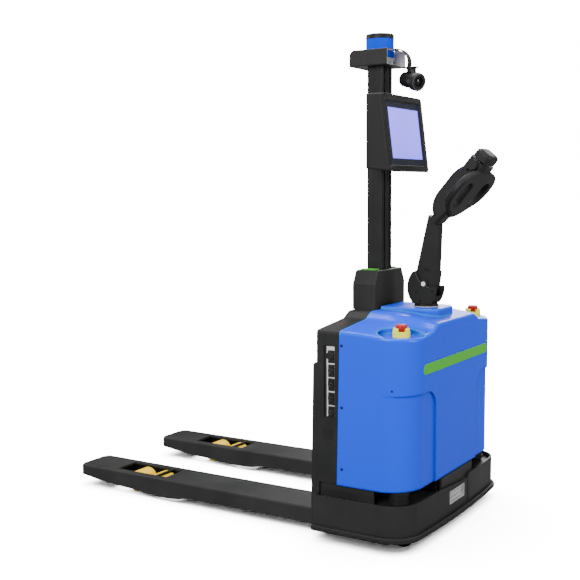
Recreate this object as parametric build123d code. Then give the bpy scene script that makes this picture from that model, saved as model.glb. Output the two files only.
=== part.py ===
from build123d import *
import math
import os

# An automated low-lift pallet truck: forks point to -X, the operator's tiller is at +X,
# +Y is the left side when looking along +X, and z = 0 is the floor. All sizes are in mm.

# Overall plan
overall_length = 1520.0
rear_x = overall_length / 2
tip_x = -overall_length / 2
running_gap = 0.3

# The tiller's end overhangs the base, so the finished truck is moved to stand centred on its origin
tiller_end_x = 860.7
centring = -(tip_x + tiller_end_x) / 2

# Forks
fork_spread = 685.0
fork_width = 170.0
fork_top_z = 85.0
fork_heel_x = 362.0
fork_plate = 8.0
fork_wall = 6.0
fork_under_z = 28.0
fork_tip_under_z = 47.0
fork_lobe_z = 13.5
fork_centre_y = (fork_spread - fork_width) / 2
tip_corner_x = 30.0
tip_corner_y = 14.0
window_front_x = -584.0
window_rear_x = -338.0
window_bar_x = -386.0
window_bar_width = 10.0
window_half_width = 53.0

# Load wheels, their bogies and arms
load_wheel_radius = 40.0
load_wheel_width = 84.0
load_wheel_pitch = 96.0
bogie_x = -452.0
bogie_plate = 5.0
bogie_gap = 1.5
bogie_arm_gap = 1.0
arm_pivot_x = -285.0
arm_pivot_z = 42.0
arm_plate = 6.0
arm_pin_radius = 9.0
axle_radius = 8.0
running_fit = 0.05

# Lift travel and the rockers and rods that push the load wheels down with it
lift_height = 115.0
rod_lever = 24.0
rod_lever_lean = 21.7
rod_radius = 7.0
rod_z = 62.0
rod_pin_radius = 4.0
rod_eye_gap = 0.8
rod_end_half = 13.5
rocker_x = 352.0
rocker_z = 61.0
rocker_reach = 122.0
rocker_swing = 28.1
rocker_lever = 18.9
rocker_half = 6.0
rocker_pin_radius = 5.0
slide_pin_radius = 8.0
slide_gap = 1.5

# Lift cylinders and carriage guides
lift_x = 434.0
lift_y = 150.0
cylinder_radius = 24.0
cylinder_top_z = 520.0
lift_rod_radius = 12.0
crosshead_half = 20.0
crosshead_z = (566.0, 598.0)
guide_y = 330.0
guide_zs = (290.0, 540.0)
guide_neck = 10.0
guide_head = 22.0
guide_height = 40.0

# Lifting carriage
carriage_rear_x = 387.5
carriage_top_x = 371.7
carriage_top_z = 610.0
carriage_step_z = 100.0
body_half_width = 392.0

# Base with its rounded rear end
base_half_width = 433.0
base_front_x = 386.0
base_corner_x = 749.0
base_corner_radius = 110.0
bumper_inset = 20.0
bumper_bottom_z = 40.0
bumper_top_z = 58.0
skirt_inset = 12.0
skirt_wall = 6.0
skirt_bottom_z = 52.0
skirt_top_z = 162.0
deck_z = 140.0
deck_plate = 6.0
floor_z = 200.0
floor_plate = 6.0
riser_half_width = 382.0
riser_rear_x = 600.0
front_wall_x = 396.0
contact_window_y = (-87.0, 42.0)
contact_window_z = (92.0, 138.0)
contact_depth = 13.0
skirt_panel_y = (-180.0, 78.0)
skirt_panel_depth = 2.0
skirt_dip = 15.0

# Upright body frame
upright_front_x = 388.0
upright_bottom_z = 201.0
upright_wall = 5.0
upright_drop = 2.5
split_low_x = 464.0
split_high_x = 475.0
split_high_z = 721.0
split_gap = 0.6

# Rear cover
cover_rear_x = 732.4
cover_corner_radius = 117.0
cover_bottom_z = 198.0
cover_wall = 4.0
cover_rear_wall = 11.0
plateau_z = 765.0
plateau_half_width = 165.0
shoulder_half_width = 205.0
shoulder_z = 742.0
side_top_z = 723.0
shoulder_radius = 45.0
side_top_radius = 14.0
cover_fall = ((440.0, 0.0), (590.0, 7.0), (680.0, 18.0), (760.0, 34.0))
rear_recess = 7.0
rear_recess_half_width = 182.0
rear_recess_top_z = 517.0
rear_recess_radius = 60.0
cover_rim_radius = 12.0
tiller_pad_z = 774.0
tiller_pad_half_width = 90.0
tiller_pad_rear_x = 690.0
tiller_pad_radius = 45.0
stop_x = 664.0
stop_y = 313.0
stop_floor_z = 706.0
stop_dish_radius = 78.0
strip_half_length = 285.0
strip_height = 37.0
strip_z = 596.0
strip_depth = 3.0
strip_proud = 1.0

# Cover screws
screw_x = 484.0
screw_zs = (254.0, 464.0, 673.0)
screw_head_radius = 4.5
screw_shank_radius = 2.4
screw_lap_x = 498.0

# Socket panel in the right-hand side
panel_x = (416.0, 457.0)
panel_z = (427.0, 670.0)
panel_plate = 3.0
socket_x = 442.0
socket_zs = (444.0, 491.0, 539.0, 586.0, 634.0)
socket_radius = 12.0
port_x = 430.0
port_z = 370.0
port_size = 34.0

# Steering, drive wheel and slewing bearing
steer_x = 612.0
wheel_radius = 105.0
wheel_width = 70.0
hub_radius = 78.0
drive_axle_radius = 14.0
crown_radius = 80.0
crown_z = 214.0
ring_outer_radius = 108.0
ring_height = 18.0
tower_top_z = 242.0
tower_plate = 8.0
tower_half_width = 138.0
tower_front_x = 486.0
tower_rear_x = 720.0
shield_x = (728.0, 736.0)
deck_hole_margin = 40.0
motor_radius = 62.0
motor_top_z = 402.0
motor_fin_z = 290.0
motor_fin_pitch = 22.0
column_radius = 24.0
turret_ring_radius = 42.0
turret_ring_height = 12.0
turret_gap = 0.5

# Casters
caster_x = 640.0
caster_y = 305.0
caster_trail = 30.0
caster_wheel_radius = 50.0
caster_wheel_width = 34.0
caster_stem_radius = 11.0

# Tiller
pivot_x = 618.0
pivot_z = 856.0
cheek_inner = 28.0
cheek_outer = 41.0
tiller_pin_radius = 8.0
arm_hub_radius = 36.0
arm_half_width = 20.0
head_x = 646.0
head_z = 1080.0
head_lean = 49.5
head_length = 264.0
head_body_half = 40.0
head_body_top = 50.0
head_crown_half = 48.0
loop_low = -43.0
loop_thickness = 26.0
loop_rounding = 9.0
throttle_y = 246.0
throttle_height = 4.0
throttle_shaft_radius = 7.0
throttle_knob_x = 58.0
horn_y = 108.0
lift_rocker_y = 150.0
belly_travel = 6.0
belly_cap_length = 32.0
belly_stem_radius = 8.0

# Mast, screen and sensors
mast_x = 425.0
mast_depth = 60.0
mast_width = 80.0
mast_foot_z = 901.0
mast_top_z = 1623.0
mast_base_x = (379.0, 469.0)
mast_base_half_width = 122.5
mast_base_top_half = 97.5
mast_base_chamfer_z = 852.0
foot_light_x = (390.0, 452.0)
foot_light_y = (54.0, 80.0)
foot_light_height = 4.0
groove_width = 8.0
groove_depth = 6.0
screen_half_width = 157.0
screen_back_x = 449.0
screen_top_x = 510.0
screen_bottom_x = 544.0
screen_top_z = mast_top_z - 105.0
screen_bottom_z = screen_top_z - 268.0
glass_width = 248.0
glass_height = 180.0
glass_thickness = 3.0
bracket_x = (340.0, 490.0)
bracket_half_width = 75.0
bracket_height = 57.0
bracket_top_z = mast_top_z + bracket_height
bracket_sheet = 3.0
lidar_radius = 50.0
lidar_body_top_z = mast_top_z + 106.0
lidar_top_z = lidar_body_top_z + 9.0
camera_x = 549.0
camera_y = 0.0
camera_plate_x = (518.0, 574.0)
camera_plate_z = bracket_top_z - 64.0
camera_strip_width = 30.0
camera_strip_sheet = 3.0
camera_strip_reach = 51.0
camera_pivot_z = camera_plate_z - 14.0
camera_drop = 33.0
camera_radius = 25.0
camera_length = 84.0
camera_pan = -25.0
camera_tilt = -13.0

# Emergency stops
stop_collar_radius = 29.0
stop_collar_height = 30.0
stop_button_radius = 19.0
stop_button_top = 42.0
stop_stem_radius = 10.0

# Safety scanners under the cover's rear corners
scanner_x = 666.0
scanner_y = 331.0
scanner_radius = 36.0
scanner_slot_z = (166.0, 186.0)

# Units inside the cover
battery_x = (504.0, 640.0)
battery_clearance = 16.0
battery_y = (146.0, body_half_width - cover_wall - battery_clearance)
battery_top_z = 560.0
tank_x = (500.0, 660.0)
tank_clearance = 22.0
tank_y = (-body_half_width + cover_wall + tank_clearance, -226.0)
tank_top_z = 400.0
controller_x = (500.0, 680.0)
controller_y = (-206.0, -160.0)
controller_z = (250.0, 450.0)
controller_fins = 12
fin_pitch = 15.0


def block(x, y, z):
    """A box between two x, two y and two z values."""
    centre = Pos((x[0] + x[1]) / 2, (y[0] + y[1]) / 2, (z[0] + z[1]) / 2)
    return centre * Box(abs(x[1] - x[0]), abs(y[1] - y[0]), abs(z[1] - z[0]))


def post(x, y, z0, z1, radius):
    """An upright cylinder from z0 to z1."""
    return Pos(x, y, (z0 + z1) / 2) * Cylinder(radius, z1 - z0)


def cross_bar(x, z, y0, y1, radius):
    """A cylinder that lies along Y."""
    return Pos(x, (y0 + y1) / 2, z) * Rot(90, 0, 0) * Cylinder(radius, y1 - y0)


def side_profile(outline, y0, y1):
    """Extrudes an outline of (x, z) points, or an (x, z) face, from y0 to y1."""
    face = make_face(Polyline(*outline, close=True)) if isinstance(outline, list) else outline
    return Pos(0, y1, 0) * Rot(90, 0, 0) * extrude(face, y1 - y0)


def cross_profile(face, x0, x1):
    """Extrudes a (y, z) face from x0 to x1."""
    plane = Plane(origin=(x0, 0, 0), x_dir=(0, 1, 0), z_dir=(1, 0, 0))
    return extrude(plane * face, x1 - x0)


def rounded_plan(front, rear, half_width, radius, crown=0.0):
    """A plan face with two round rear corners and a slightly bowed rear edge."""
    cut = radius * (1 - math.sqrt(0.5))
    right_side = Line((front, -half_width), (rear - radius, -half_width))
    right_corner = ThreePointArc(
        (rear - radius, -half_width), (rear - cut, -half_width + cut), (rear, -half_width + radius))
    rear_start = (rear, -half_width + radius)
    rear_end = (rear, half_width - radius)
    if crown:
        rear_edge = ThreePointArc(rear_start, (rear + crown, 0), rear_end)
    else:
        rear_edge = Line(rear_start, rear_end)
    left_corner = ThreePointArc(
        (rear, half_width - radius), (rear - cut, half_width - cut), (rear - radius, half_width))
    left_side = Line((rear - radius, half_width), (front, half_width))
    front_edge = Line((front, half_width), (front, -half_width))
    return make_face([right_side, right_corner, rear_edge, left_corner, left_side, front_edge])


def base_plan(inset, front):
    """The base's plan outline, drawn inward all round by inset."""
    crown = rear_x - base_corner_x
    return rounded_plan(front, base_corner_x - inset, base_half_width - inset,
                        base_corner_radius - inset, crown)


def raised(face, z0, z1):
    """Extrudes a plan face from z0 up to z1."""
    return extrude(Pos(0, 0, z0) * face, z1 - z0)


def save(node, shape):
    """Writes one node's solids to its own file, centred under the whole truck."""
    export_step(Pos(centring, 0, 0) * shape, f"parts/{node}.step")


# Body section shared by the upright frame and the rear cover

def body_section(drop, inset, bottom):
    """The body's cross-section: a raised plateau, sloping shoulders and rounded side edges."""
    half = body_half_width - inset
    side_z = side_top_z - drop - inset
    bend_z = shoulder_z - drop - inset
    top_z = plateau_z - drop - inset
    points = [
        (-half, bottom), (half, bottom), (half, side_z), (shoulder_half_width, bend_z),
        (plateau_half_width, top_z), (-plateau_half_width, top_z), (-shoulder_half_width, bend_z),
        (-half, side_z)]
    face = make_face(Polyline(*points, close=True))
    corners = face.vertices()
    side_tops = [v for v in corners if v.Y > side_z - 1 and abs(v.X) > half - 1]
    shoulders = [v for v in corners if v.Y > bend_z - 1 and abs(v.X) < half - 1]
    face = fillet(side_tops, side_top_radius - min(inset, cover_wall))
    remaining = [v for v in face.vertices()
                 if any(abs(v.X - s.X) < 0.01 and abs(v.Y - s.Y) < 0.01 for s in shoulders)]
    return fillet(remaining, shoulder_radius)


def body_loft(inset, bottom):
    """The body's top surface, which falls gently towards the rear."""
    sections = []
    for x, fall in cover_fall:
        plane = Plane(origin=(x, 0, 0), x_dir=(0, 1, 0), z_dir=(1, 0, 0))
        sections.append(plane * body_section(fall, inset, bottom))
    return loft(sections)


def split_x(z):
    """The leaning joint line between the upright frame and the rear cover."""
    slope = (split_high_x - split_low_x) / (split_high_z - cover_bottom_z)
    return split_low_x + slope * (z - cover_bottom_z)


def behind_split(gap):
    """The space behind the leaning joint line."""
    low = 150.0
    high = 900.0
    return side_profile([(split_x(low) + gap, low), (900, low), (900, high), (split_x(high) + gap, high)],
                        -500, 500)


# Chassis

def make_base_frame():
    skirt = raised(base_plan(skirt_inset, base_front_x), skirt_bottom_z, skirt_top_z)
    skirt -= raised(base_plan(skirt_inset + skirt_wall, base_front_x - 1),
                    skirt_bottom_z - 1, skirt_top_z + 1)
    panel = raised(base_plan(skirt_inset, base_front_x), bumper_top_z + 2, skirt_top_z + 1)
    panel -= raised(base_plan(skirt_inset + skirt_panel_depth, base_front_x - 1), 0, floor_z)
    skirt -= panel & block((base_corner_x - 40, rear_x), skirt_panel_y, (0, floor_z))
    low_y, high_y = skirt_panel_y
    dip = make_face(Polyline((low_y, skirt_top_z + 1), (high_y, skirt_top_z - skirt_dip),
                             (high_y + skirt_dip, skirt_top_z + 1), close=True))
    skirt -= cross_profile(dip, base_corner_x - 40, rear_x)
    front_y = (-body_half_width, body_half_width)
    skirt += block((upright_front_x, front_wall_x), front_y, (skirt_bottom_z, floor_z))
    filler_y = base_half_width - skirt_inset
    for side in (-1, 1):
        skirt += block((upright_front_x, front_wall_x), (side * (body_half_width - 1), side * filler_y),
                       (skirt_bottom_z, skirt_top_z))
    deck = raised(base_plan(skirt_inset + 1, front_wall_x - 1), deck_z, deck_z + deck_plate)
    deck -= post(steer_x, 0, deck_z - 1, deck_z + deck_plate + 1, crown_radius + deck_hole_margin)
    for side in (-1, 1):
        deck -= post(caster_x, side * caster_y, deck_z - 1, deck_z + deck_plate + 1,
                     caster_stem_radius + running_fit)
    floor = raised(rounded_plan(upright_front_x + upright_wall, cover_rear_x - cover_rear_wall - 1,
                                body_half_width - upright_wall, cover_corner_radius - cover_wall),
                   floor_z, floor_z + floor_plate)
    tower_x = (tower_front_x, tower_rear_x)
    tower_y = (-tower_half_width, tower_half_width)
    floor -= block(tower_x, tower_y, (floor_z - 1, floor_z + floor_plate + 1))
    tower = block(tower_x, tower_y, (deck_z + 1, tower_top_z + tower_plate))
    tower -= block((tower_front_x + tower_plate, tower_rear_x + 1),
                   (-tower_half_width + tower_plate, tower_half_width - tower_plate),
                   (deck_z, tower_top_z))
    tower -= post(steer_x, 0, tower_top_z - 1, tower_top_z + tower_plate + 1, motor_radius + 8)
    shield = block(shield_x, tower_y, (deck_z + 1, cover_bottom_z - 2))
    frame = skirt + deck + floor + tower + shield
    for side in (-1, 1):
        frame += block((front_wall_x - 1, riser_rear_x),
                       (side * (riser_half_width - skirt_wall), side * riser_half_width),
                       (deck_z + 1, floor_z + 1))
    frame -= block((rear_x - 60, rear_x), contact_window_y, contact_window_z)
    slide_x, slide_z = rocker_tip()
    for side in (-1, 1):
        y = side * fork_centre_y
        slot_y = (y - rocker_half - 3, y + rocker_half + 3)
        frame -= block((upright_front_x - 1, front_wall_x + 1), slot_y, (rocker_z, floor_z - 24))
        frame -= block((front_wall_x - 1, slide_x - 8), slot_y, (deck_z - 1, deck_z + deck_plate + 1))
        for face in (-1, 1):
            cheek_y = sorted((y + face * (rocker_half + 2), y + face * (rocker_half + 8)))
            cheek = block((slide_x - 18, slide_x + 32), cheek_y, (slide_z - 17, deck_z + 1))
            half_gap = slide_pin_radius + slide_gap
            cheek -= block((slide_x - half_gap, slide_x + 15 + half_gap), cheek_y,
                           (slide_z - half_gap, slide_z + half_gap))
            frame += cheek
    return frame


def make_bumper_strip():
    strip = raised(base_plan(0, base_front_x), bumper_bottom_z, bumper_top_z)
    strip -= raised(base_plan(bumper_inset, base_front_x - 1), bumper_bottom_z - 1, bumper_top_z + 1)
    strip -= raised(base_plan(skirt_inset - running_gap, base_front_x - 1), skirt_bottom_z, bumper_top_z + 1)
    long_edges = [e for e in strip.edges() if e.length > 60]
    strip = chamfer([e for e in long_edges if e.center().Z < bumper_bottom_z + 0.1], 3)
    top = [e for e in strip.edges().filter_by(Plane.XY)
           if abs(e.center().Z - bumper_top_z) < 0.1 and e.length > 60]
    reach = [e for e in top
             if e.bounding_box().max.X > base_corner_x - 1 or abs(e.center().Y) > base_half_width - 1]
    return fillet(reach, 5)


def make_upright_frame():
    shell = cross_profile(body_section(upright_drop, 0, upright_bottom_z),
                          upright_front_x, split_high_x + 10)
    inner = cross_profile(body_section(upright_drop, upright_wall, upright_bottom_z - 1),
                          upright_front_x + upright_wall, split_high_x + 11)
    shell = shell - inner - behind_split(-split_gap)
    lap_out = body_half_width - cover_wall - running_gap
    lap_in = lap_out - upright_wall
    lap_z = (floor_z + floor_plate, side_top_z - 40)
    lap_x = panel_x[1] + 1
    for side in (-1, 1):
        lap = block((lap_x, screw_lap_x), (side * lap_in, side * lap_out), lap_z)
        root = block((lap_x, split_high_x), (side * lap_in, side * (body_half_width - 1)), lap_z)
        shell += lap + (root - behind_split(-split_gap))
        for z in screw_zs:
            shell -= cross_bar(screw_x, z, side * body_half_width - 14, side * body_half_width + 14,
                               screw_shank_radius + running_fit)
    shell -= block(panel_x, (-body_half_width - 1, -body_half_width + upright_wall + 1), panel_z)
    inner_y = -body_half_width + upright_wall
    shell += block((panel_x[0] - 6, panel_x[1] + 0.5), (inner_y, inner_y + panel_plate),
                   (panel_z[0] - 6, panel_z[1] + 6))
    for z in socket_zs:
        shell -= cross_bar(socket_x, z, inner_y - 1, inner_y + panel_plate + 1, socket_radius - 2)
    wall_x = (upright_front_x - 1, upright_front_x + upright_wall + 1)
    for side in (-1, 1):
        slot_y = side * lift_y
        shell -= block(wall_x, (slot_y - crosshead_half - 3, slot_y + crosshead_half + 3),
                       (crosshead_z[0] - 6, crosshead_z[1] + lift_height + 6))
        for z in guide_zs:
            y = side * guide_y
            shell -= block(wall_x, (y - guide_neck - 0.4, y + guide_neck + 0.4),
                           (z - 4, z + guide_height + lift_height + 4))
    return shell


def make_rear_cover():
    plan = rounded_plan(440, cover_rear_x, body_half_width, cover_corner_radius)
    outer = body_loft(0, cover_bottom_z) & raised(plan, cover_bottom_z, 900)
    rear_rim = [e for e in outer.edges()
                if e.center().Z > rear_recess_top_z and e.center().X > cover_rear_x - 30]
    outer = fillet(rear_rim, cover_rim_radius)
    pad_plan = rounded_plan(440, tiller_pad_rear_x, tiller_pad_half_width, tiller_pad_radius)
    pad = raised(pad_plan, 700, tiller_pad_z)
    pad = fillet([e for e in pad.edges() if abs(e.center().Z - tiller_pad_z) < 0.1
                  and e.center().X > 441], 7)
    outer += pad
    inner_plan = rounded_plan(430, cover_rear_x - cover_rear_wall, body_half_width - cover_wall,
                              cover_corner_radius - cover_wall)
    inner = body_loft(cover_wall, cover_bottom_z - 1) & raised(inner_plan, cover_bottom_z - 1, 900)
    shell = outer - inner
    for side in (-1, 1):
        y = side * stop_y
        seat = post(stop_x, y, stop_floor_z - cover_wall, plateau_z, stop_dish_radius + cover_wall)
        shell += seat & outer
        shell -= post(stop_x, y, stop_floor_z, plateau_z + 20, stop_dish_radius)
        shell -= post(stop_x, y, stop_floor_z - 10, stop_floor_z + 1, stop_stem_radius + 1)
    recess_plan = plan - rounded_plan(400, cover_rear_x - rear_recess, body_half_width + 1,
                                      cover_corner_radius)
    recess = raised(recess_plan, cover_bottom_z - 1, rear_recess_top_z)
    for side in (-1, 1):
        edge = Pos(side * (rear_recess_half_width + 200), (rear_recess_top_z + 40) / 2)
        window = edge * RectangleRounded(400, rear_recess_top_z - 40, rear_recess_radius)
        shell -= recess & cross_profile(window, 600, 800)
    slot = Pos(0, strip_z) * SlotOverall(2 * strip_half_length, strip_height)
    shell -= cross_profile(slot, cover_rear_x - strip_depth, cover_rear_x + 5)
    shell -= post(steer_x, 0, 600, 900, column_radius + 6)
    for side in (-1, 1):
        for z in screw_zs:
            shell -= cross_bar(screw_x, z, side * body_half_width - 7, side * body_half_width + 7,
                               screw_shank_radius + running_fit)
    return shell & behind_split(0)


def make_cover_screws():
    screws = []
    for side in (-1, 1):
        for z in screw_zs:
            head = cross_bar(screw_x, z, 0, 1.8, screw_head_radius)
            shank = cross_bar(screw_x, z, -9, 0, screw_shank_radius)
            socket = Pos(screw_x, 2, z) * Rot(90, 0, 0) * extrude(RegularPolygon(2.0, 6), 1.4)
            screw = head + shank - socket
            if side < 0:
                screw = mirror(screw, Plane.XZ)
            screws.append(Pos(0, side * body_half_width, 0) * screw)
    return Compound(screws)


def make_light_strip():
    slot = Pos(0, strip_z) * SlotOverall(2 * strip_half_length - 1, strip_height - 1)
    strip = cross_profile(slot, cover_rear_x - strip_depth, cover_rear_x + strip_proud)
    return chamfer(strip.faces().sort_by(Axis.X)[-1].edges(), 0.8)


def make_battery_pack():
    case = block(battery_x, battery_y, (floor_z + floor_plate, battery_top_z))
    case = fillet(case.edges().filter_by(Axis.Z), 12)
    lid_x = (battery_x[0] - 3, battery_x[1] + 3)
    lid_y = (battery_y[0] - 3, battery_y[1] + 3)
    lid = block(lid_x, lid_y, (battery_top_z - 20, battery_top_z - 12))
    mid_x = sum(battery_x) / 2
    mid_y = sum(battery_y) / 2
    handle = block((mid_x - 24, mid_x + 24), (mid_y - 59, mid_y + 59), (battery_top_z, battery_top_z + 18))
    handle -= block((mid_x - 14, mid_x + 14), (mid_y - 49, mid_y + 49), (battery_top_z, battery_top_z + 11))
    return case + lid + handle


def make_hydraulic_unit():
    mid_x = sum(tank_x) / 2
    mid_y = sum(tank_y) / 2
    tank = block(tank_x, tank_y, (floor_z + floor_plate, tank_top_z))
    tank = fillet(tank.edges().filter_by(Axis.Z), 14)
    valve_top_z = tank_top_z + 40
    valve_block = block((mid_x - 50, mid_x + 50), (mid_y - 50, mid_y + 50), (tank_top_z, valve_top_z))
    motor = post(mid_x, mid_y, valve_top_z, valve_top_z + 160, 50)
    motor = fillet(motor.edges().sort_by(Axis.Z)[-1], 8)
    filler = post(tank_x[0] + 20, tank_y[1] - 24, tank_top_z, tank_top_z + 24, 12)
    return tank + valve_block + motor + filler


def make_drive_controller():
    plate_y = (controller_y[0] - 8, controller_y[0])
    plate = block((controller_x[0] - 16, controller_x[1] + 10), plate_y,
                  (floor_z + floor_plate, controller_z[1] + 20))
    controller = plate + block(controller_x, controller_y, controller_z)
    fin_y = (controller_y[1], controller_y[1] + 10)
    for i in range(controller_fins):
        x = controller_x[0] + 5 + fin_pitch * i
        controller += block((x, x + 5), fin_y, (controller_z[0] + 5, controller_z[1] - 5))
    return controller


def make_panel_sockets():
    face_y = -body_half_width + upright_wall
    sockets = []
    for z in socket_zs:
        flange = cross_bar(socket_x, z, face_y - 3, face_y, socket_radius)
        barrel = cross_bar(socket_x, z, face_y - 5, face_y + 14, socket_radius - 2.2)
        bore = cross_bar(socket_x, z, face_y - 6, face_y + 2, socket_radius - 5)
        pin = cross_bar(socket_x, z, face_y - 3, face_y + 3, 2.5)
        sockets.append(flange + barrel - bore + pin)
    half = port_size / 2
    port = block((port_x - half, port_x + half), (-body_half_width - 1.5, -body_half_width),
                 (port_z - half, port_z + half))
    sockets.append(chamfer(port.faces().sort_by(Axis.Y)[0].edges(), 1))
    for dz in (-34, 34):
        sockets.append(cross_bar(port_x, port_z + dz, -body_half_width - 1, -body_half_width, 3.5))
    return Compound(sockets)


def make_charge_contacts():
    window_w = contact_window_y[1] - contact_window_y[0] - 1
    window_h = contact_window_z[1] - contact_window_z[0] - 1
    y_mid = sum(contact_window_y) / 2
    z_mid = sum(contact_window_z) / 2
    outer_x = rear_x - skirt_inset - 1
    tray = block((outer_x - contact_depth, outer_x), (y_mid - window_w / 2, y_mid + window_w / 2),
                 (z_mid - window_h / 2, z_mid + window_h / 2))
    tray -= block((outer_x - contact_depth + 3, outer_x + 1),
                  (y_mid - window_w / 2 + 4, y_mid + window_w / 2 - 4),
                  (z_mid - window_h / 2 + 4, z_mid + window_h / 2 - 4))
    for dz in (-9, 9):
        tray += block((outer_x - contact_depth + 2, outer_x - 3), (y_mid - 48, y_mid + 48),
                      (z_mid + dz - 4, z_mid + dz + 4))
    return tray


# Mast, screen and sensors

def make_mast_base():
    face = make_face(Polyline(
        (-mast_base_half_width, plateau_z - upright_drop), (mast_base_half_width, plateau_z - upright_drop),
        (mast_base_half_width, mast_base_chamfer_z), (mast_base_top_half, mast_foot_z),
        (-mast_base_top_half, mast_foot_z), (-mast_base_half_width, mast_base_chamfer_z), close=True))
    box = cross_profile(face, *mast_base_x)
    long_edges = [e for e in box.edges() if e.center().Z > plateau_z and abs(e.center().X - mast_x) > 40]
    return fillet(long_edges, 4)


def make_mast_foot_light():
    bars = []
    for side in (-1, 1):
        bar_y = sorted(side * y for y in foot_light_y)
        bar = block(foot_light_x, bar_y, (mast_foot_z, mast_foot_z + foot_light_height))
        bars.append(fillet(bar.faces().sort_by(Axis.Z)[-1].edges(), 1))
    return Compound(bars)


def make_mast_column():
    face = RectangleRounded(mast_depth, mast_width, 3)
    groove = Rectangle(groove_width, groove_depth * 2)
    for side in (-1, 1):
        face -= Pos(0, side * mast_width / 2) * groove
        for y in (-mast_width / 4, mast_width / 4):
            face -= Pos(side * mast_depth / 2, y) * Rot(0, 0, 90) * groove
    core = Rectangle(mast_depth - 28, mast_width - 28)
    return raised(Pos(mast_x, 0) * (face - core), mast_foot_z, mast_top_z)


def screen_plane(depth):
    """The plane of the screen's leaning front face, sunk by depth."""
    lean = math.atan2(screen_bottom_x - screen_top_x, screen_top_z - screen_bottom_z)
    normal = (math.cos(lean), 0, math.sin(lean))
    centre = ((screen_top_x + screen_bottom_x) / 2 - depth * normal[0], 0,
              (screen_top_z + screen_bottom_z) / 2 - depth * normal[2])
    return Plane(origin=centre, x_dir=(0, 1, 0), z_dir=normal)


def make_screen_housing():
    profile = [(screen_back_x, screen_bottom_z + 10), (screen_bottom_x, screen_bottom_z),
               (screen_top_x, screen_top_z), (screen_back_x, screen_top_z + 1)]
    case = side_profile(profile, -screen_half_width, screen_half_width)
    case = fillet([e for e in case.edges() if e.length > 30], 7)
    case -= block((screen_back_x - 1, mast_x + mast_depth / 2),
                  (-mast_width / 2 - 0.5, mast_width / 2 + 0.5), (screen_bottom_z - 50, screen_top_z + 50))
    pocket = extrude(screen_plane(glass_thickness) * Rectangle(glass_width + 1, glass_height + 1), 20)
    return case - pocket


def make_screen_glass():
    outline = Rectangle(glass_width, glass_height)
    return extrude(screen_plane(glass_thickness) * outline, glass_thickness - 0.6)


def make_lidar_bracket():
    x0, x1 = bracket_x
    y1 = bracket_half_width
    side_outline = [(x0, mast_top_z), (x1, mast_top_z), (x1, bracket_top_z), (x0 + 14, bracket_top_z),
                    (x0, bracket_top_z - 12)]
    box = side_profile(side_outline, -y1, y1)
    box = fillet([e for e in box.edges() if abs(abs(e.center().Y) - y1) < 0.1 and e.center().X < x1 - 1], 4)
    sheet = bracket_sheet
    inner_outline = [(x0 + sheet, mast_top_z + sheet), (x1 + 1, mast_top_z + sheet),
                     (x1 + 1, bracket_top_z - sheet), (x0 + 14 + sheet / 2, bracket_top_z - sheet),
                     (x0 + sheet, bracket_top_z - 12 - sheet / 2)]
    box -= side_profile(inner_outline, -y1 + sheet, y1 - sheet)
    return box - post(mast_x, 0, bracket_top_z - 10, bracket_top_z + 1, lidar_radius + 3)


def make_lidar_housing():
    base = mast_top_z + bracket_sheet
    foot = post(mast_x, 0, base, base + 20, lidar_radius - 4)
    body = post(mast_x, 0, base + 20, lidar_body_top_z, lidar_radius)
    body = fillet(body.edges().sort_by(Axis.Z)[0], 3)
    waist = post(mast_x, 0, base + 26, base + 29, lidar_radius + 2)
    waist -= post(mast_x, 0, base + 26, base + 29, lidar_radius - 1.5)
    return foot + body - waist


def make_lidar_cap():
    cap = post(mast_x, 0, lidar_body_top_z, lidar_top_z, lidar_radius)
    return fillet(cap.edges().sort_by(Axis.Z)[-1], 4)


def camera_plane(height):
    """A frame at the camera's knuckle that is turned to the camera's own heading."""
    return Pos(camera_x, camera_y, height) * Rot(0, 0, camera_pan)


def make_camera_arm():
    half = camera_strip_width / 2
    top = bracket_top_z
    low = camera_plate_z
    sheet = camera_strip_sheet
    edge_x = bracket_x[1]
    end_x = edge_x + camera_strip_reach
    bend_x = edge_x + 0.7 * camera_strip_reach
    strip_face = make_face([
        Line((edge_x - 11, top), (edge_x - 11, top + sheet)),
        Line((edge_x - 11, top + sheet), (edge_x - 2, top + sheet)),
        ThreePointArc((edge_x - 2, top + sheet), (bend_x, top - 10), (end_x, low)),
        Line((end_x, low), (end_x - sheet, low)),
        ThreePointArc((end_x - sheet, low), (bend_x - 2.5, top - 12), (edge_x - 2, top)),
        Line((edge_x - 2, top), (edge_x - 11, top))])
    strip = side_profile(strip_face, camera_y - half, camera_y + half)
    plate = block(camera_plate_x, (camera_y - half, camera_y + half), (low - 3, low))
    plate = fillet([e for e in plate.edges().filter_by(Axis.Z) if e.center().X > camera_x], 9)
    yoke_top = low - 3 - camera_pivot_z
    yoke = block((-10, 10), (-13, 13), (-4, yoke_top))
    yoke -= block((-11, 11), (-7 - running_gap, 7 + running_gap), (-5, yoke_top - 4))
    yoke -= Rot(90, 0, 0) * Cylinder(3 + running_fit, 60)
    return strip + plate + camera_plane(camera_pivot_z) * yoke


def make_camera_body():
    lug = block((-7, 7), (-7, 7), (-15, 5))
    heading = Pos(0, 0, -camera_drop) * Rot(0, 90 - camera_tilt, 0)
    barrel = heading * Cylinder(camera_radius, camera_length)
    barrel = chamfer(barrel.edges(), 3)
    hood = heading * Pos(0, 0, camera_length / 2) * Cylinder(camera_radius - 5, 16)
    pin = Rot(90, 0, 0) * Cylinder(3, 26)
    return camera_plane(camera_pivot_z) * (lug + barrel - hood + pin)


# Lifting carriage and forks

def rocker_tip():
    """Where the rocker's long lever ends when the forks are down."""
    swing = math.radians(rocker_swing)
    return rocker_x + rocker_reach * math.cos(swing), rocker_z + rocker_reach * math.sin(swing)


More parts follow.
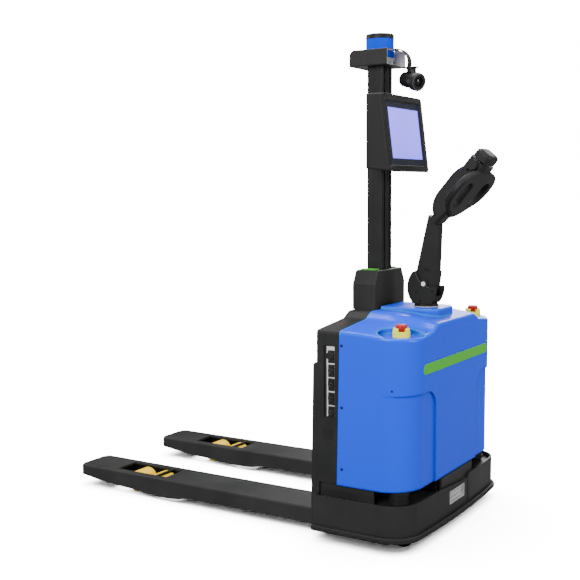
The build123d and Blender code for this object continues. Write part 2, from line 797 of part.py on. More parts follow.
def rocker_short_tip():
    """Where the rocker's short lever ends when the forks are down."""
    swing = math.radians(rocker_swing)
    return rocker_x + rocker_lever * math.sin(swing), rocker_z - rocker_lever * math.cos(swing)


def arm_lever_tip():
    """Where the load arm's upper lever ends when the forks are down."""
    lean = math.radians(rod_lever_lean)
    return arm_pivot_x + rod_lever * math.sin(lean), arm_pivot_z + rod_lever * math.cos(lean)


def make_fork_carriage():
    outline = make_face(Polyline(
        (fork_heel_x, fork_under_z), (carriage_rear_x, fork_under_z), (carriage_rear_x, carriage_top_z),
        (carriage_top_x, carriage_top_z), (fork_heel_x, carriage_step_z), close=True))
    top_corner = [v for v in outline.vertices() if v.Y > carriage_top_z - 1 and v.X < carriage_rear_x - 1]
    outline = fillet(top_corner, 13)
    plate = side_profile(outline, -body_half_width, body_half_width)
    plate = fillet([e for e in plate.edges().filter_by(Axis.Z) if e.center().X < carriage_top_x], 5)
    for side in (-1, 1):
        y = side * lift_y
        plate += block((carriage_rear_x - 1, lift_x + cylinder_radius),
                       (y - crosshead_half, y + crosshead_half), crosshead_z)
        y = side * guide_y
        head_x = upright_front_x + upright_wall + running_gap
        for z in guide_zs:
            plate += block((carriage_rear_x - 1, head_x + 1), (y - guide_neck, y + guide_neck),
                           (z, z + guide_height))
            plate += block((head_x, head_x + 12), (y - guide_head, y + guide_head), (z, z + guide_height))
        y = side * fork_centre_y
        pocket_y = (y - rocker_half - 3, y + rocker_half + 3)
        plate -= block((fork_heel_x - 1, carriage_rear_x + 1), (y - 15, y + 15), (32, 58))
        plate -= block((fork_heel_x - 1, carriage_rear_x + 1), pocket_y, (32, fork_top_z - 1))
        plate -= block((fork_heel_x + 6, carriage_rear_x + 1), pocket_y, (32, fork_top_z + 14))
    return plate


def make_lift_cylinders():
    cylinders = []
    for side in (-1, 1):
        barrel = post(lift_x, side * lift_y, floor_z + floor_plate, cylinder_top_z, cylinder_radius)
        gland = post(lift_x, side * lift_y, cylinder_top_z, cylinder_top_z + 12, cylinder_radius - 4)
        bore = post(lift_x, side * lift_y, floor_z + 40, cylinder_top_z + 13, lift_rod_radius + running_fit)
        cylinders.append(barrel + gland - bore)
    return Compound(cylinders)


def make_lift_rods():
    return Compound([
        post(lift_x, side * lift_y, floor_z + 60, crosshead_z[0], lift_rod_radius) for side in (-1, 1)])


def make_rocker(side):
    """The bell crank on the carriage that turns lift travel into rod travel."""
    y = side * fork_centre_y
    tip_x_long, tip_z_long = rocker_tip()
    tip_x_short, tip_z_short = rocker_short_tip()
    pivot = Pos(rocker_x, rocker_z)
    long_hull = make_face(make_hull([
        *(pivot * Circle(8)).edges(), *(Pos(tip_x_long, tip_z_long) * Circle(9.5)).edges()]))
    short_hull = make_face(make_hull([
        *(pivot * Circle(9)).edges(), *(Pos(tip_x_short, tip_z_short) * Circle(7)).edges()]))
    crank = side_profile(long_hull, y - rocker_half, y + rocker_half)
    crank += side_profile(short_hull, y - rocker_half, y + rocker_half)
    crank += cross_bar(rocker_x, rocker_z, y - rod_end_half - 7, y + rod_end_half + 7, rocker_pin_radius)
    crank += cross_bar(tip_x_short, tip_z_short, y - rod_end_half, y + rod_end_half, rod_pin_radius)
    slide_half = rocker_half + 9
    return crank + cross_bar(tip_x_long, tip_z_long, y - slide_half, y + slide_half, slide_pin_radius)


def fork_side_outline():
    """The fork's side view: a rising nose and a deep lobe around the load arm's pivot."""
    lobe_front = arm_pivot_x - 40
    lobe_rear = arm_pivot_x + 42
    path = [
        Line((tip_x, fork_top_z), (tip_x, fork_tip_under_z)),
        Line((tip_x, fork_tip_under_z), (-607, fork_under_z + 1)),
        Line((-607, fork_under_z + 1), (-482, 23.5)),
        Line((-482, 23.5), (lobe_front - 30, fork_lobe_z + 1)),
        ThreePointArc((lobe_front - 30, fork_lobe_z + 1), (lobe_front + 6, fork_lobe_z), (lobe_rear, 21.5)),
        ThreePointArc((lobe_rear, 21.5), (lobe_rear + 30, 26.4), (lobe_rear + 60, fork_under_z)),
        Line((lobe_rear + 60, fork_under_z), (fork_heel_x, fork_under_z)),
        Line((fork_heel_x, fork_under_z), (fork_heel_x, fork_top_z)),
        Line((fork_heel_x, fork_top_z), (tip_x, fork_top_z))]
    return make_face(path)


def make_fork(side):
    y = side * fork_centre_y
    half = fork_width / 2
    fork = side_profile(fork_side_outline(), y - half, y + half)
    fork = fillet([e for e in fork.edges() if e.length > 900 and e.center().Z > fork_top_z - 1], 6)
    nose = make_face(Polyline(
        (tip_x, -half + tip_corner_x), (tip_x + tip_corner_y, -half), (fork_heel_x, -half),
        (fork_heel_x, half), (tip_x + tip_corner_y, half), (tip_x, half - tip_corner_x), close=True))
    fork &= Pos(0, y, 0) * raised(nose, 0, 120)
    inner_half = half - fork_wall
    fork -= block((tip_x + 26, fork_heel_x + 1), (y - inner_half, y + inner_half),
                  (0, fork_top_z - fork_plate))
    fork -= block((window_front_x, window_rear_x), (y - window_half_width, y + window_half_width),
                  (fork_top_z - fork_plate - 1, fork_top_z + 1))
    bar_x = (window_bar_x - window_bar_width / 2, window_bar_x + window_bar_width / 2)
    fork += block(bar_x, (y - window_half_width - 1, y + window_half_width + 1), (fork_top_z - 5, fork_top_z))
    fork -= cross_bar(arm_pivot_x, arm_pivot_z, y - half - 1, y + half + 1, arm_pin_radius + running_fit)
    for face in (-1, 1):
        lug_y = sorted((y + face * (rod_end_half + 1), y + face * (rod_end_half + 7)))
        lug = block((rocker_x - 10, fork_heel_x - 0.5), lug_y, (rocker_z - 9, fork_top_z - fork_plate + 1))
        lug -= cross_bar(rocker_x, rocker_z, lug_y[0] - 1, lug_y[1] + 1, rocker_pin_radius + running_fit)
        fork += lug
    return fork


def make_arm_pins():
    half = fork_width / 2
    pins = []
    for side in (-1, 1):
        y = side * fork_centre_y
        pins.append(cross_bar(arm_pivot_x, arm_pivot_z, y - half + 0.5, y + half - 0.5, arm_pin_radius))
    return Compound(pins)


def bogie_half():
    """Half the distance between the outer faces of a bogie's two plates."""
    return load_wheel_width / 2 + bogie_gap + bogie_plate


def make_load_arm(side):
    y = side * fork_centre_y
    inner = bogie_half() + bogie_arm_gap
    outer = inner + arm_plate
    hull = make_face(make_hull([
        *(Pos(arm_pivot_x, arm_pivot_z) * Circle(17)).edges(),
        *(Pos(bogie_x, load_wheel_radius) * Circle(14)).edges()]))
    arm = side_profile(hull, y - outer, y + outer)
    clear_x = (bogie_x - 30, arm_pivot_x + 20)
    arm -= block(clear_x, (y - inner, y + inner), (0, 80))
    tube = cross_bar(arm_pivot_x, arm_pivot_z, y - outer, y + outer, 17)
    tube -= cross_bar(arm_pivot_x, arm_pivot_z, y - 16, y + 16, 20)
    tube += cross_bar(arm_pivot_x, arm_pivot_z, y - 17, y + 17, 13)
    pin_x, pin_z = arm_lever_tip()
    lever_hull = make_face(make_hull([
        *(Pos(arm_pivot_x, arm_pivot_z) * Circle(15)).edges(), *(Pos(pin_x, pin_z) * Circle(7)).edges()]))
    lever = side_profile(lever_hull, y - rocker_half, y + rocker_half)
    pin = cross_bar(pin_x, pin_z, y - rod_end_half, y + rod_end_half, rod_pin_radius)
    arm = arm + tube + lever + pin
    arm -= cross_bar(arm_pivot_x, arm_pivot_z, y - outer - 1, y + outer + 1, arm_pin_radius + running_fit)
    arm -= cross_bar(bogie_x, load_wheel_radius, y - outer - 1, y + outer + 1, axle_radius + running_fit)
    return arm


def make_bogie(side):
    """Two plates beside the wheels, their two axles and the longer pin that reaches the load arm."""
    y = side * fork_centre_y
    outer = bogie_half()
    inner = outer - bogie_plate
    pin_half = outer + bogie_arm_gap + arm_plate
    half_pitch = load_wheel_pitch / 2
    outline = make_face(make_hull([
        *(Pos(bogie_x - half_pitch, load_wheel_radius) * Circle(13)).edges(),
        *(Pos(bogie_x + half_pitch, load_wheel_radius) * Circle(13)).edges()]))
    pieces = []
    for face in (-1, 1):
        y0, y1 = sorted((y + face * inner, y + face * outer))
        plate = side_profile(outline, y0, y1)
        for dx in (-half_pitch, 0, half_pitch):
            plate -= cross_bar(bogie_x + dx, load_wheel_radius, y0 - 1, y1 + 1, axle_radius + running_fit)
        pieces.append(plate)
    for dx, half in ((-half_pitch, outer), (0, pin_half), (half_pitch, outer)):
        pieces.append(cross_bar(bogie_x + dx, load_wheel_radius, y - half, y + half, axle_radius))
    return Compound(pieces)


def make_load_wheel(side, end):
    x = bogie_x + end * load_wheel_pitch / 2
    y = side * fork_centre_y
    half = load_wheel_width / 2
    wheel = cross_bar(x, load_wheel_radius, y - half, y + half, load_wheel_radius)
    wheel = fillet(wheel.edges(), 3)
    for face in (-1, 1):
        y0, y1 = sorted((y + face * (half - 6), y + face * (half + 1)))
        wheel -= cross_bar(x, load_wheel_radius, y0, y1, 25) - cross_bar(x, load_wheel_radius, y0, y1, 13)
    return wheel - cross_bar(x, load_wheel_radius, y - half - 1, y + half + 1, axle_radius + running_fit)


def rod_fork_end(y, pin_x, pin_low, pin_high, end_z, toward):
    """A forked rod end whose tall eye leaves the lever pin room to rise and fall."""
    half_eye = rod_pin_radius + rod_eye_gap
    x = sorted((pin_x - toward * 9, pin_x + toward * 40))
    gap_x = sorted((pin_x - toward * 10, pin_x + toward * 34))
    root_x = sorted((pin_x + toward * 36, pin_x + toward * 48))
    end = block(x, (y - rod_end_half, y + rod_end_half), end_z)
    root_z = (min(end_z[0], rod_z - 9), max(end_z[1], rod_z + 9))
    end += block(root_x, (y - rod_end_half, y + rod_end_half), root_z)
    end -= block(gap_x, (y - rocker_half - 1, y + rocker_half + 1), (end_z[0] - 1, end_z[1] + 1))
    return end - block((pin_x - half_eye, pin_x + half_eye), (y - rod_end_half - 1, y + rod_end_half + 1),
                       (pin_low - half_eye, pin_high + half_eye))


def make_push_rod(side):
    y = side * fork_centre_y
    front_x, front_z = arm_lever_tip()
    back_x, back_z = rocker_short_tip()
    front_end_z = (front_z - rod_pin_radius - 4, fork_top_z - fork_plate - 1.5)
    back_end_z = (rocker_z - rocker_lever - rod_pin_radius - 4, rocker_z - rocker_pin_radius - 1)
    front = rod_fork_end(y, front_x, front_z, arm_pivot_z + rod_lever, front_end_z, 1)
    back = rod_fork_end(y, back_x, rocker_z - rocker_lever, back_z, back_end_z, -1)
    rod_x = (front_x + 44, back_x - 44)
    rod = Pos(sum(rod_x) / 2, y, rod_z) * Rot(0, 90, 0) * Cylinder(rod_radius, rod_x[1] - rod_x[0])
    return front + back + rod


# Steering, drive wheel and casters

def make_slewing_ring():
    low = tower_top_z - ring_height
    ring = post(steer_x, 0, low, tower_top_z, ring_outer_radius)
    return ring - post(steer_x, 0, low - 1, tower_top_z + 1, crown_radius + running_gap)


def make_drive_unit():
    crown = post(steer_x, 0, crown_z, tower_top_z - 1, crown_radius)
    leg_outline = make_face(make_hull([
        *(Pos(steer_x, wheel_radius) * Circle(46)).edges(),
        *(Pos(steer_x, crown_z - 20) * Rectangle(110, 4)).edges()]))
    gearbox = side_profile(leg_outline, wheel_width / 2 + 4, wheel_width / 2 + 34)
    gearbox = chamfer(gearbox.faces().sort_by(Axis.Y)[-1].edges(), 3)
    neck = block((steer_x - 55, steer_x + 55), (wheel_width / 2 + 4, wheel_width / 2 + 30),
                 (crown_z - 24, crown_z + 2))
    axle = cross_bar(steer_x, wheel_radius, -wheel_width / 2 - 4, wheel_width / 2 + 6, drive_axle_radius)
    return crown + gearbox + neck + axle


def make_drive_hub():
    half = wheel_width / 2
    hub = cross_bar(steer_x, wheel_radius, -half + 4, half - 4, hub_radius)
    for face in (-1, 1):
        y0, y1 = sorted((face * (half - 18), face * half))
        hub -= cross_bar(steer_x, wheel_radius, y0, y1, hub_radius - 10) - cross_bar(
            steer_x, wheel_radius, y0, y1, 32)
    for i in range(6):
        angle = math.radians(60 * i)
        hub -= cross_bar(steer_x + 52 * math.cos(angle), wheel_radius + 52 * math.sin(angle), -half, half, 9)
    return hub - cross_bar(steer_x, wheel_radius, -half - 5, half + 5, drive_axle_radius + running_fit)


def make_drive_tyre():
    half = wheel_width / 2
    tyre = cross_bar(steer_x, wheel_radius, -half, half, wheel_radius)
    tyre = fillet(tyre.edges(), 6)
    return tyre - cross_bar(steer_x, wheel_radius, -half - 1, half + 1, hub_radius)


def make_drive_motor():
    can = post(steer_x, 0, tower_top_z - 1, motor_top_z, motor_radius)
    can = fillet(can.edges().sort_by(Axis.Z)[-1], 6)
    for i in range(4):
        z = motor_fin_z + motor_fin_pitch * i
        can -= post(steer_x, 0, z, z + 10, motor_radius + 1) - post(steer_x, 0, z, z + 10, motor_radius - 4)
    return can


def make_tiller_turret():
    low = tiller_pad_z + turret_gap
    ring = post(steer_x, 0, low, low + turret_ring_height, turret_ring_radius)
    ring = chamfer(ring.edges().sort_by(Axis.Z)[-1], 3)
    column = post(steer_x, 0, motor_top_z, low + 1, column_radius)
    flange = post(steer_x, 0, motor_top_z, motor_top_z + 10, motor_radius - 14)
    ring_top = low + turret_ring_height - 0.5
    outline = [
        Line((578, ring_top), (646, ring_top)),
        ThreePointArc((646, ring_top), (660, 812), (664, 846)),
        Line((664, 846), (640, 846)),
        ThreePointArc((640, 846), (610, 862), (590, 896)),
        ThreePointArc((590, 896), (580, 899), (572, 893)),
        ThreePointArc((572, 893), (556, 846), (578, ring_top))]
    cheeks = side_profile(make_face(outline), -cheek_outer, cheek_outer)
    boss = cross_bar(pivot_x, pivot_z, -cheek_outer, cheek_outer, tiller_pin_radius + 7)
    yoke = cheeks + boss
    yoke -= block((500, 700), (-cheek_inner, cheek_inner), (812, 950))
    yoke = yoke - cross_bar(pivot_x, pivot_z, -cheek_inner, cheek_inner, arm_hub_radius + 9)
    yoke -= cross_bar(pivot_x, pivot_z, -cheek_outer - 1, cheek_outer + 1, tiller_pin_radius + running_fit)
    return ring + column + flange + yoke


def make_tiller_pin():
    pin = cross_bar(pivot_x, pivot_z, -cheek_outer - 3, cheek_outer + 3, tiller_pin_radius)
    return chamfer(pin.edges(), 1.5)


def head_plane():
    """The tiller head's own plane: its y axis runs up the head and its z axis is the head's face."""
    lean = math.radians(head_lean)
    return Plane(origin=(head_x, 0, head_z), x_dir=(0, -1, 0), z_dir=(-math.sin(lean), 0, math.cos(lean)))


def make_tiller_arm():
    hub_half = cheek_inner - 0.5
    hub = cross_bar(pivot_x, pivot_z, -hub_half, hub_half, arm_hub_radius)
    lower = side_profile([(pivot_x - 36, pivot_z), (pivot_x + 36, pivot_z), (660, 900), (578, 900)],
                         -hub_half, hub_half)
    shaft = side_profile([(578, 890), (660, 890), (669, 1130), (632, 1130)], -arm_half_width, arm_half_width)
    shaft = fillet([e for e in shaft.edges() if e.length > 200], 5)
    above_head = extrude(head_plane() * Rectangle(400, 400, align=(Align.CENTER, Align.MIN)), 200, both=True)
    arm = hub + lower + (shaft - above_head)
    return arm - cross_bar(pivot_x, pivot_z, -hub_half - 1, hub_half + 1, tiller_pin_radius + running_fit)


def loop_outline():
    """The outer edge of the head's two hand loops."""
    right = [(30, 52), (84, 82), (136, 118), (151, 166), (134, 212), (80, 238)]
    left = [(-x, y) for x, y in reversed(right)]
    return make_face(Spline(*right, *left, periodic=True))


def loop_opening(side):
    """One hand opening between the head's body and the outer loop."""
    inner = head_body_half + 4
    points = [(inner + 8, 100), (80, 104), (106, 136), (110, 176), (84, 198), (inner + 8, 186),
              (inner + 2, 140)]
    return make_face(Spline(*[(side * x, y) for x, y in points], periodic=True))


def head_body_outline():
    """The head's side view: a humped top, and a belly that deepens towards the far end."""
    return make_face([
        Line((0, -22), (0, 12)),
        Line((0, 12), (16, 12)),
        ThreePointArc((16, 12), (42, 37), (92, head_body_top)),
        Line((92, head_body_top), (170, head_body_top)),
        ThreePointArc((170, head_body_top), (195, 45), (214, 37)),
        Line((214, 37), (head_length, 37)),
        Line((head_length, 37), (head_length, -36)),
        Line((head_length, -36), (140, -36)),
        Line((140, -36), (0, -22))])


def make_tiller_head():
    loop = extrude(loop_outline(), loop_thickness)
    for side in (-1, 1):
        loop -= extrude(loop_opening(side), loop_thickness)
    rims = [e for e in loop.edges()
            if e.length > 60 and min(abs(e.center().Z), abs(e.center().Z - loop_thickness)) < 1]
    loop = Pos(0, 0, loop_low) * fillet(rims, loop_rounding)
    across = Plane(origin=(-head_body_half, 0, 0), x_dir=(0, 1, 0), z_dir=(1, 0, 0))
    body = extrude(across * head_body_outline(), 2 * head_body_half)
    for above, radius in ((True, 16), (False, 12)):
        long_edges = [e for e in body.edges()
                      if abs(abs(e.center().X) - head_body_half) < 0.1
                      and 1 < e.center().Y < head_length - 1 and (e.center().Z > 0) == above]
        body = fillet(long_edges, radius)
    crown = Pos(0, head_length - 35, 0) * Box(2 * head_crown_half, 70, 68)
    crown = fillet(crown.edges().filter_by(Axis.Y), 18)
    head = loop + body + crown
    head -= Pos(0, throttle_y, throttle_height) * Rot(0, 90, 0) * Cylinder(
        throttle_shaft_radius + running_gap, 200)
    stem_low = head_length - belly_travel - 2.5
    head -= Pos(0, (stem_low + head_length + 20) / 2, 0) * Rot(90, 0, 0) * Cylinder(
        belly_stem_radius + running_gap, head_length + 20 - stem_low)
    head -= Pos(0, horn_y, head_body_top) * Cylinder(9.5, 20)
    head -= Pos(0, lift_rocker_y, head_body_top) * Box(23, 41, 20)
    return head_plane().location * head


def make_throttle():
    shaft = Rot(0, 90, 0) * Cylinder(throttle_shaft_radius, 2 * head_crown_half + 2)
    wings = []
    for side in (-1, 1):
        knob = Pos(side * throttle_knob_x, 0, 0) * Rot(0, 90, 0) * Cylinder(18, 18)
        paddle = Pos(side * throttle_knob_x, -13, 9) * Box(18, 26, 10)
        wings.append(fillet((knob + paddle).edges().filter_by(Axis.X), 2))
    throttle = Pos(0, throttle_y, throttle_height) * (shaft + wings[0] + wings[1])
    return head_plane().location * throttle


def make_belly_button():
    low = head_length + belly_travel
    cap = Pos(0, low + belly_cap_length / 2, 0) * Box(90, belly_cap_length, 64)
    cap = fillet(cap.edges().filter_by(Axis.Y), 20)
    cap = fillet(cap.faces().sort_by(Axis.Y)[-1].edges(), 14)
    stem_low = head_length - 2
    stem_length = low + 2 - stem_low
    stem = Pos(0, stem_low + stem_length / 2, 0) * Rot(90, 0, 0) * Cylinder(belly_stem_radius, stem_length)
    return head_plane().location * (cap + stem)


def make_horn_button():
    button = Pos(0, horn_y, head_body_top - 1) * Cylinder(9, 10)
    return head_plane().location * fillet(button.edges().sort_by(Axis.Z)[-1], 2)


def make_lift_rocker():
    rocker = Pos(0, lift_rocker_y, head_body_top - 1) * Box(22, 34, 8)
    return head_plane().location * fillet(rocker.edges().filter_by(Axis.X), 2.5)


def make_caster_fork(side):
    x = caster_x
    y = side * caster_y
    wheel_x = x + caster_trail
    gap = caster_wheel_width / 2 + 2
    stem = post(x, y, 112, deck_z + deck_plate - 0.5, caster_stem_radius)
    crown = post(x, y, 108, deck_z - 0.5, 30)
    crown += block((x, wheel_x + 8), (y - gap - 5, y + gap + 5), (106, 114))
    leg = make_face(make_hull([
        *(Pos(x + 2, 108) * Rectangle(52, 8)).edges(),
        *(Pos(wheel_x, caster_wheel_radius) * Circle(14)).edges()]))
    fork = stem + crown
    for face in (-1, 1):
        y0, y1 = sorted((y + face * gap, y + face * (gap + 5)))
        fork += side_profile(leg, y0, y1)
    fork += cross_bar(wheel_x, caster_wheel_radius, y - gap - 8, y + gap + 8, 6)
    return fork


def make_caster_wheel(side):
    x = caster_x + caster_trail
    y = side * caster_y
    half = caster_wheel_width / 2
    wheel = cross_bar(x, caster_wheel_radius, y - half, y + half, caster_wheel_radius)
    wheel = fillet(wheel.edges(), 5)
    return wheel - cross_bar(x, caster_wheel_radius, y - half - 1, y + half + 1, 6 + running_fit)


# Emergency stops and scanners

def make_stop_collars():
    collars = []
    for side in (-1, 1):
        y = side * stop_y
        low = stop_floor_z
        collar = post(stop_x, y, low, low + stop_collar_height, stop_collar_radius)
        collar = chamfer(collar.edges().sort_by(Axis.Z)[-1], 2)
        collar -= post(stop_x, y, low + 12, low + stop_collar_height + 1, stop_button_radius + 4)
        collar -= post(stop_x, y, low - 1, low + 13, stop_stem_radius + running_gap)
        for turn in (30, 120):
            notch = Box(100, 24, 14) - Pos(0, 0, 0) * Box(30, 24, 14)
            collar -= Pos(stop_x, y, low + stop_collar_height - 4) * Rot(0, 0, turn) * notch
        collars.append(collar)
    return Compound(collars)


def make_stop_button(side):
    y = side * stop_y
    top = stop_floor_z + stop_button_top
    cap = post(stop_x, y, top - 14, top, stop_button_radius)
    cap = fillet(cap.edges().sort_by(Axis.Z)[-1], 6)
    stem = post(stop_x, y, stop_floor_z - 14, top - 10, stop_stem_radius)
    return cap + stem


def make_safety_scanners():
    scanners = []
    for side in (-1, 1):
        y = side * scanner_y
        body = post(scanner_x, y, 150, cover_bottom_z - 0.5, scanner_radius)
        body = chamfer(body.edges().sort_by(Axis.Z)[0], 4)
        body += post(scanner_x, y, deck_z + deck_plate, 151, scanner_radius - 6)
        band = post(scanner_x, y, *scanner_slot_z, scanner_radius + 4)
        band -= post(scanner_x, y, *scanner_slot_z, scanner_radius - 3)
        scanners.append(body - band)
    return Compound(scanners)


def main():
    os.makedirs("parts", exist_ok=True)
    save("base_frame", make_base_frame())
    save("bumper_strip", make_bumper_strip())
    save("upright_frame", make_upright_frame())
    save("rear_cover", make_rear_cover())
    save("cover_screws", make_cover_screws())
    save("light_strip", make_light_strip())
    save("battery_pack", make_battery_pack())
    save("hydraulic_unit", make_hydraulic_unit())
    save("drive_controller", make_drive_controller())
    save("panel_sockets", make_panel_sockets())
    save("charge_contacts", make_charge_contacts())
    save("mast_base", make_mast_base())
    save("mast_foot_light", make_mast_foot_light())
    save("mast_column", make_mast_column())
    save("screen_housing", make_screen_housing())
    save("screen_glass", make_screen_glass())
    save("lidar_bracket", make_lidar_bracket())
    save("lidar_housing", make_lidar_housing())
    save("lidar_cap", make_lidar_cap())
    save("camera_arm", make_camera_arm())
    save("camera_body", make_camera_body())
    save("fork_carriage", make_fork_carriage())
    save("lift_cylinders", make_lift_cylinders())
    save("lift_rods", make_lift_rods())
    save("load_arm_pins", make_arm_pins())
    save("slewing_ring", make_slewing_ring())
    save("drive_unit", make_drive_unit())
    save("drive_hub", make_drive_hub())
    save("drive_tyre", make_drive_tyre())
    save("drive_motor", make_drive_motor())
    save("tiller_turret", make_tiller_turret())
    save("tiller_pin", make_tiller_pin())
    save("tiller_arm", make_tiller_arm())
    save("tiller_head", make_tiller_head())
    save("throttle", make_throttle())
    save("belly_button", make_belly_button())
    save("horn_button", make_horn_button())
    save("lift_rocker", make_lift_rocker())
    save("stop_collars", make_stop_collars())
    save("safety_scanners", make_safety_scanners())
    for name, side in (("right", -1), ("left", 1)):
        save(f"fork_{name}", make_fork(side))
        save(f"load_arm_{name}", make_load_arm(side))
        save(f"bogie_{name}", make_bogie(side))
        save(f"push_rod_{name}", make_push_rod(side))
        save(f"rocker_{name}", make_rocker(side))
        save(f"front_wheel_{name}", make_load_wheel(side, -1))
        save(f"rear_wheel_{name}", make_load_wheel(side, 1))
        save(f"caster_fork_{name}", make_caster_fork(side))
        save(f"caster_wheel_{name}", make_caster_wheel(side))
        save(f"stop_button_{name}", make_stop_button(side))


main()
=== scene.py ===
import bpy
import bmesh
import math
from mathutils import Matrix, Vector


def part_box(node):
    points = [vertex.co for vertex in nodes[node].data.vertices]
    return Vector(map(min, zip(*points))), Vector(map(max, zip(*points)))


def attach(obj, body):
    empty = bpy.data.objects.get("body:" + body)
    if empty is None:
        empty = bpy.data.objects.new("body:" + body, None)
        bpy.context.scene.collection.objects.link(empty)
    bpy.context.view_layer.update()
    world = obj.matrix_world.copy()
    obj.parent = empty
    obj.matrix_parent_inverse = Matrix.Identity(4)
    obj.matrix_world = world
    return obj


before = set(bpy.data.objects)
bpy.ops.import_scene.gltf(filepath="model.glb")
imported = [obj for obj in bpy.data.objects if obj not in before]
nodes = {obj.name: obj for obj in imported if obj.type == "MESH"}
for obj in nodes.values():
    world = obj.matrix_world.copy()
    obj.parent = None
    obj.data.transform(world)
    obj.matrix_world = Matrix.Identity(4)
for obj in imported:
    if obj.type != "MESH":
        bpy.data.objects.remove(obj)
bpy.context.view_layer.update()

# The whole truck stands centred on its origin, so places drawn about the body's middle, from which the
# fork tips are 760 mm away, move by this much
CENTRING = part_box("fork_left")[0].x + 0.760

# Places and sides that several pieces share, in millimetres about the body's middle
SIDES = (("right", -1), ("left", 1))
MAST_X = 425.0
FORK_MIDDLE_Y = 257.5
TURRET_SIDE_Y = 41.0


def at(x, y, z):
    """A place given in millimetres about the body's middle, in metres about the truck's origin."""
    return Vector((x / 1000 + CENTRING, y / 1000, z / 1000))


# Materials

COAT_ROUGHNESS = 0.12
GRAIN_DEPTH = 0.0004
BEVEL_SAMPLES = 6
BOUNCE_COLOUR = (0.05, 0.055, 0.07, 1.0)


def shader(name, colour, rough=0.5, metal=0.0, coat=0.0, spec=0.22):
    material = bpy.data.materials.new(name)
    material.use_nodes = True
    tree = material.node_tree
    principled = tree.nodes["Principled BSDF"]
    principled.inputs["Base Color"].default_value = (*colour, 1.0)
    principled.inputs["Roughness"].default_value = rough
    principled.inputs["Metallic"].default_value = metal
    principled.inputs["Coat Weight"].default_value = coat
    principled.inputs["Coat Roughness"].default_value = COAT_ROUGHNESS
    principled.inputs["Specular IOR Level"].default_value = spec
    return material, tree, principled


def camera_ray(tree):
    return tree.nodes.new("ShaderNodeLightPath").outputs["Is Camera Ray"]


def coords(tree):
    return tree.nodes.new("ShaderNodeTexCoord").outputs["Object"]


def noise(tree, scale, detail=3.0, rough=0.5, vector=None):
    node = tree.nodes.new("ShaderNodeTexNoise")
    node.inputs["Scale"].default_value = scale
    node.inputs["Detail"].default_value = detail
    node.inputs["Roughness"].default_value = rough
    tree.links.new(vector or coords(tree), node.inputs["Vector"])
    return node.outputs["Fac"]


def spread(tree, value, low, high, out_low=0.0, out_high=1.0):
    """Maps a value between low and high to one between out_low and out_high."""
    node = tree.nodes.new("ShaderNodeMapRange")
    node.inputs["From Min"].default_value = low
    node.inputs["From Max"].default_value = high
    node.inputs["To Min"].default_value = out_low
    node.inputs["To Max"].default_value = out_high
    tree.links.new(value, node.inputs["Value"])
    return node.outputs["Result"]


def multiply(tree, value_a, value_b):
    node = tree.nodes.new("ShaderNodeMath")
    node.operation = "MULTIPLY"
    tree.links.new(value_a, node.inputs[0])
    tree.links.new(value_b, node.inputs[1])
    return node.outputs["Value"]


def bump(tree, principled, height, strength, distance=GRAIN_DEPTH):
    node = tree.nodes.new("ShaderNodeBump")
    node.inputs["Strength"].default_value = strength
    node.inputs["Distance"].default_value = distance
    tree.links.new(height, node.inputs["Height"])
    tree.links.new(node.outputs["Normal"], principled.inputs["Normal"])


def mix_colour(tree, factor, colour_a, colour_b):
    node = tree.nodes.new("ShaderNodeMix")
    node.data_type = "RGBA"
    node.inputs["A"].default_value = (*colour_a, 1.0)
    node.inputs["B"].default_value = (*colour_b, 1.0)
    tree.links.new(factor, node.inputs["Factor"])
    return node.outputs["Result"]


def inside(tree, centre, half):
    """1 where a point lies in a box, and 0 elsewhere.

    The box has its centre and half sizes in metres, and y counts the same on both sides of the truck.
    """
    absolute = tree.nodes.new("ShaderNodeVectorMath")
    absolute.operation = "ABSOLUTE"
    tree.links.new(coords(tree), absolute.inputs[0])
    separate = tree.nodes.new("ShaderNodeSeparateXYZ")
    tree.links.new(coords(tree), separate.inputs["Vector"])
    mirrored = tree.nodes.new("ShaderNodeSeparateXYZ")
    tree.links.new(absolute.outputs["Vector"], mirrored.inputs["Vector"])
    values = (separate.outputs["X"], mirrored.outputs["Y"], separate.outputs["Z"])
    result = None
    for value, middle, reach in zip(values, centre, half):
        node = tree.nodes.new("ShaderNodeMath")
        node.operation = "COMPARE"
        tree.links.new(value, node.inputs[0])
        node.inputs[1].default_value = middle
        node.inputs[2].default_value = reach
        within = node.outputs["Value"]
        result = within if result is None else multiply(tree, result, within)
    return result


def recolour_inside(material, centre, half, colour):
    """Gives a material another colour inside a box."""
    tree = material.node_tree
    socket = tree.nodes["Principled BSDF"].inputs["Base Color"]
    node = tree.nodes.new("ShaderNodeMix")
    node.data_type = "RGBA"
    if socket.is_linked:
        tree.links.new(socket.links[0].from_socket, node.inputs["A"])
    else:
        node.inputs["A"].default_value = socket.default_value
    node.inputs["B"].default_value = (*colour, 1.0)
    tree.links.new(inside(tree, centre, half), node.inputs["Factor"])
    tree.links.new(node.outputs["Result"], socket)


def textured_paint(name, colour, rough, grain=900.0, bump_strength=0.25):
    """Fine-grained powder coat with a little unevenness in its sheen."""
    material, tree, principled = shader(name, colour, rough)
    bump(tree, principled, noise(tree, grain, 2.0), bump_strength)
    cloud = noise(tree, 7.0, 4.0)
    sheen = spread(tree, cloud, 0.3, 0.7, rough - 0.06, rough + 0.07)
    tree.links.new(sheen, principled.inputs["Roughness"])
    lighter = tuple(min(1.0, c * 1.25 + 0.004) for c in colour)
    uneven = mix_colour(tree, spread(tree, cloud, 0.35, 0.75), colour, lighter)
    tree.links.new(uneven, principled.inputs["Base Color"])
    return material


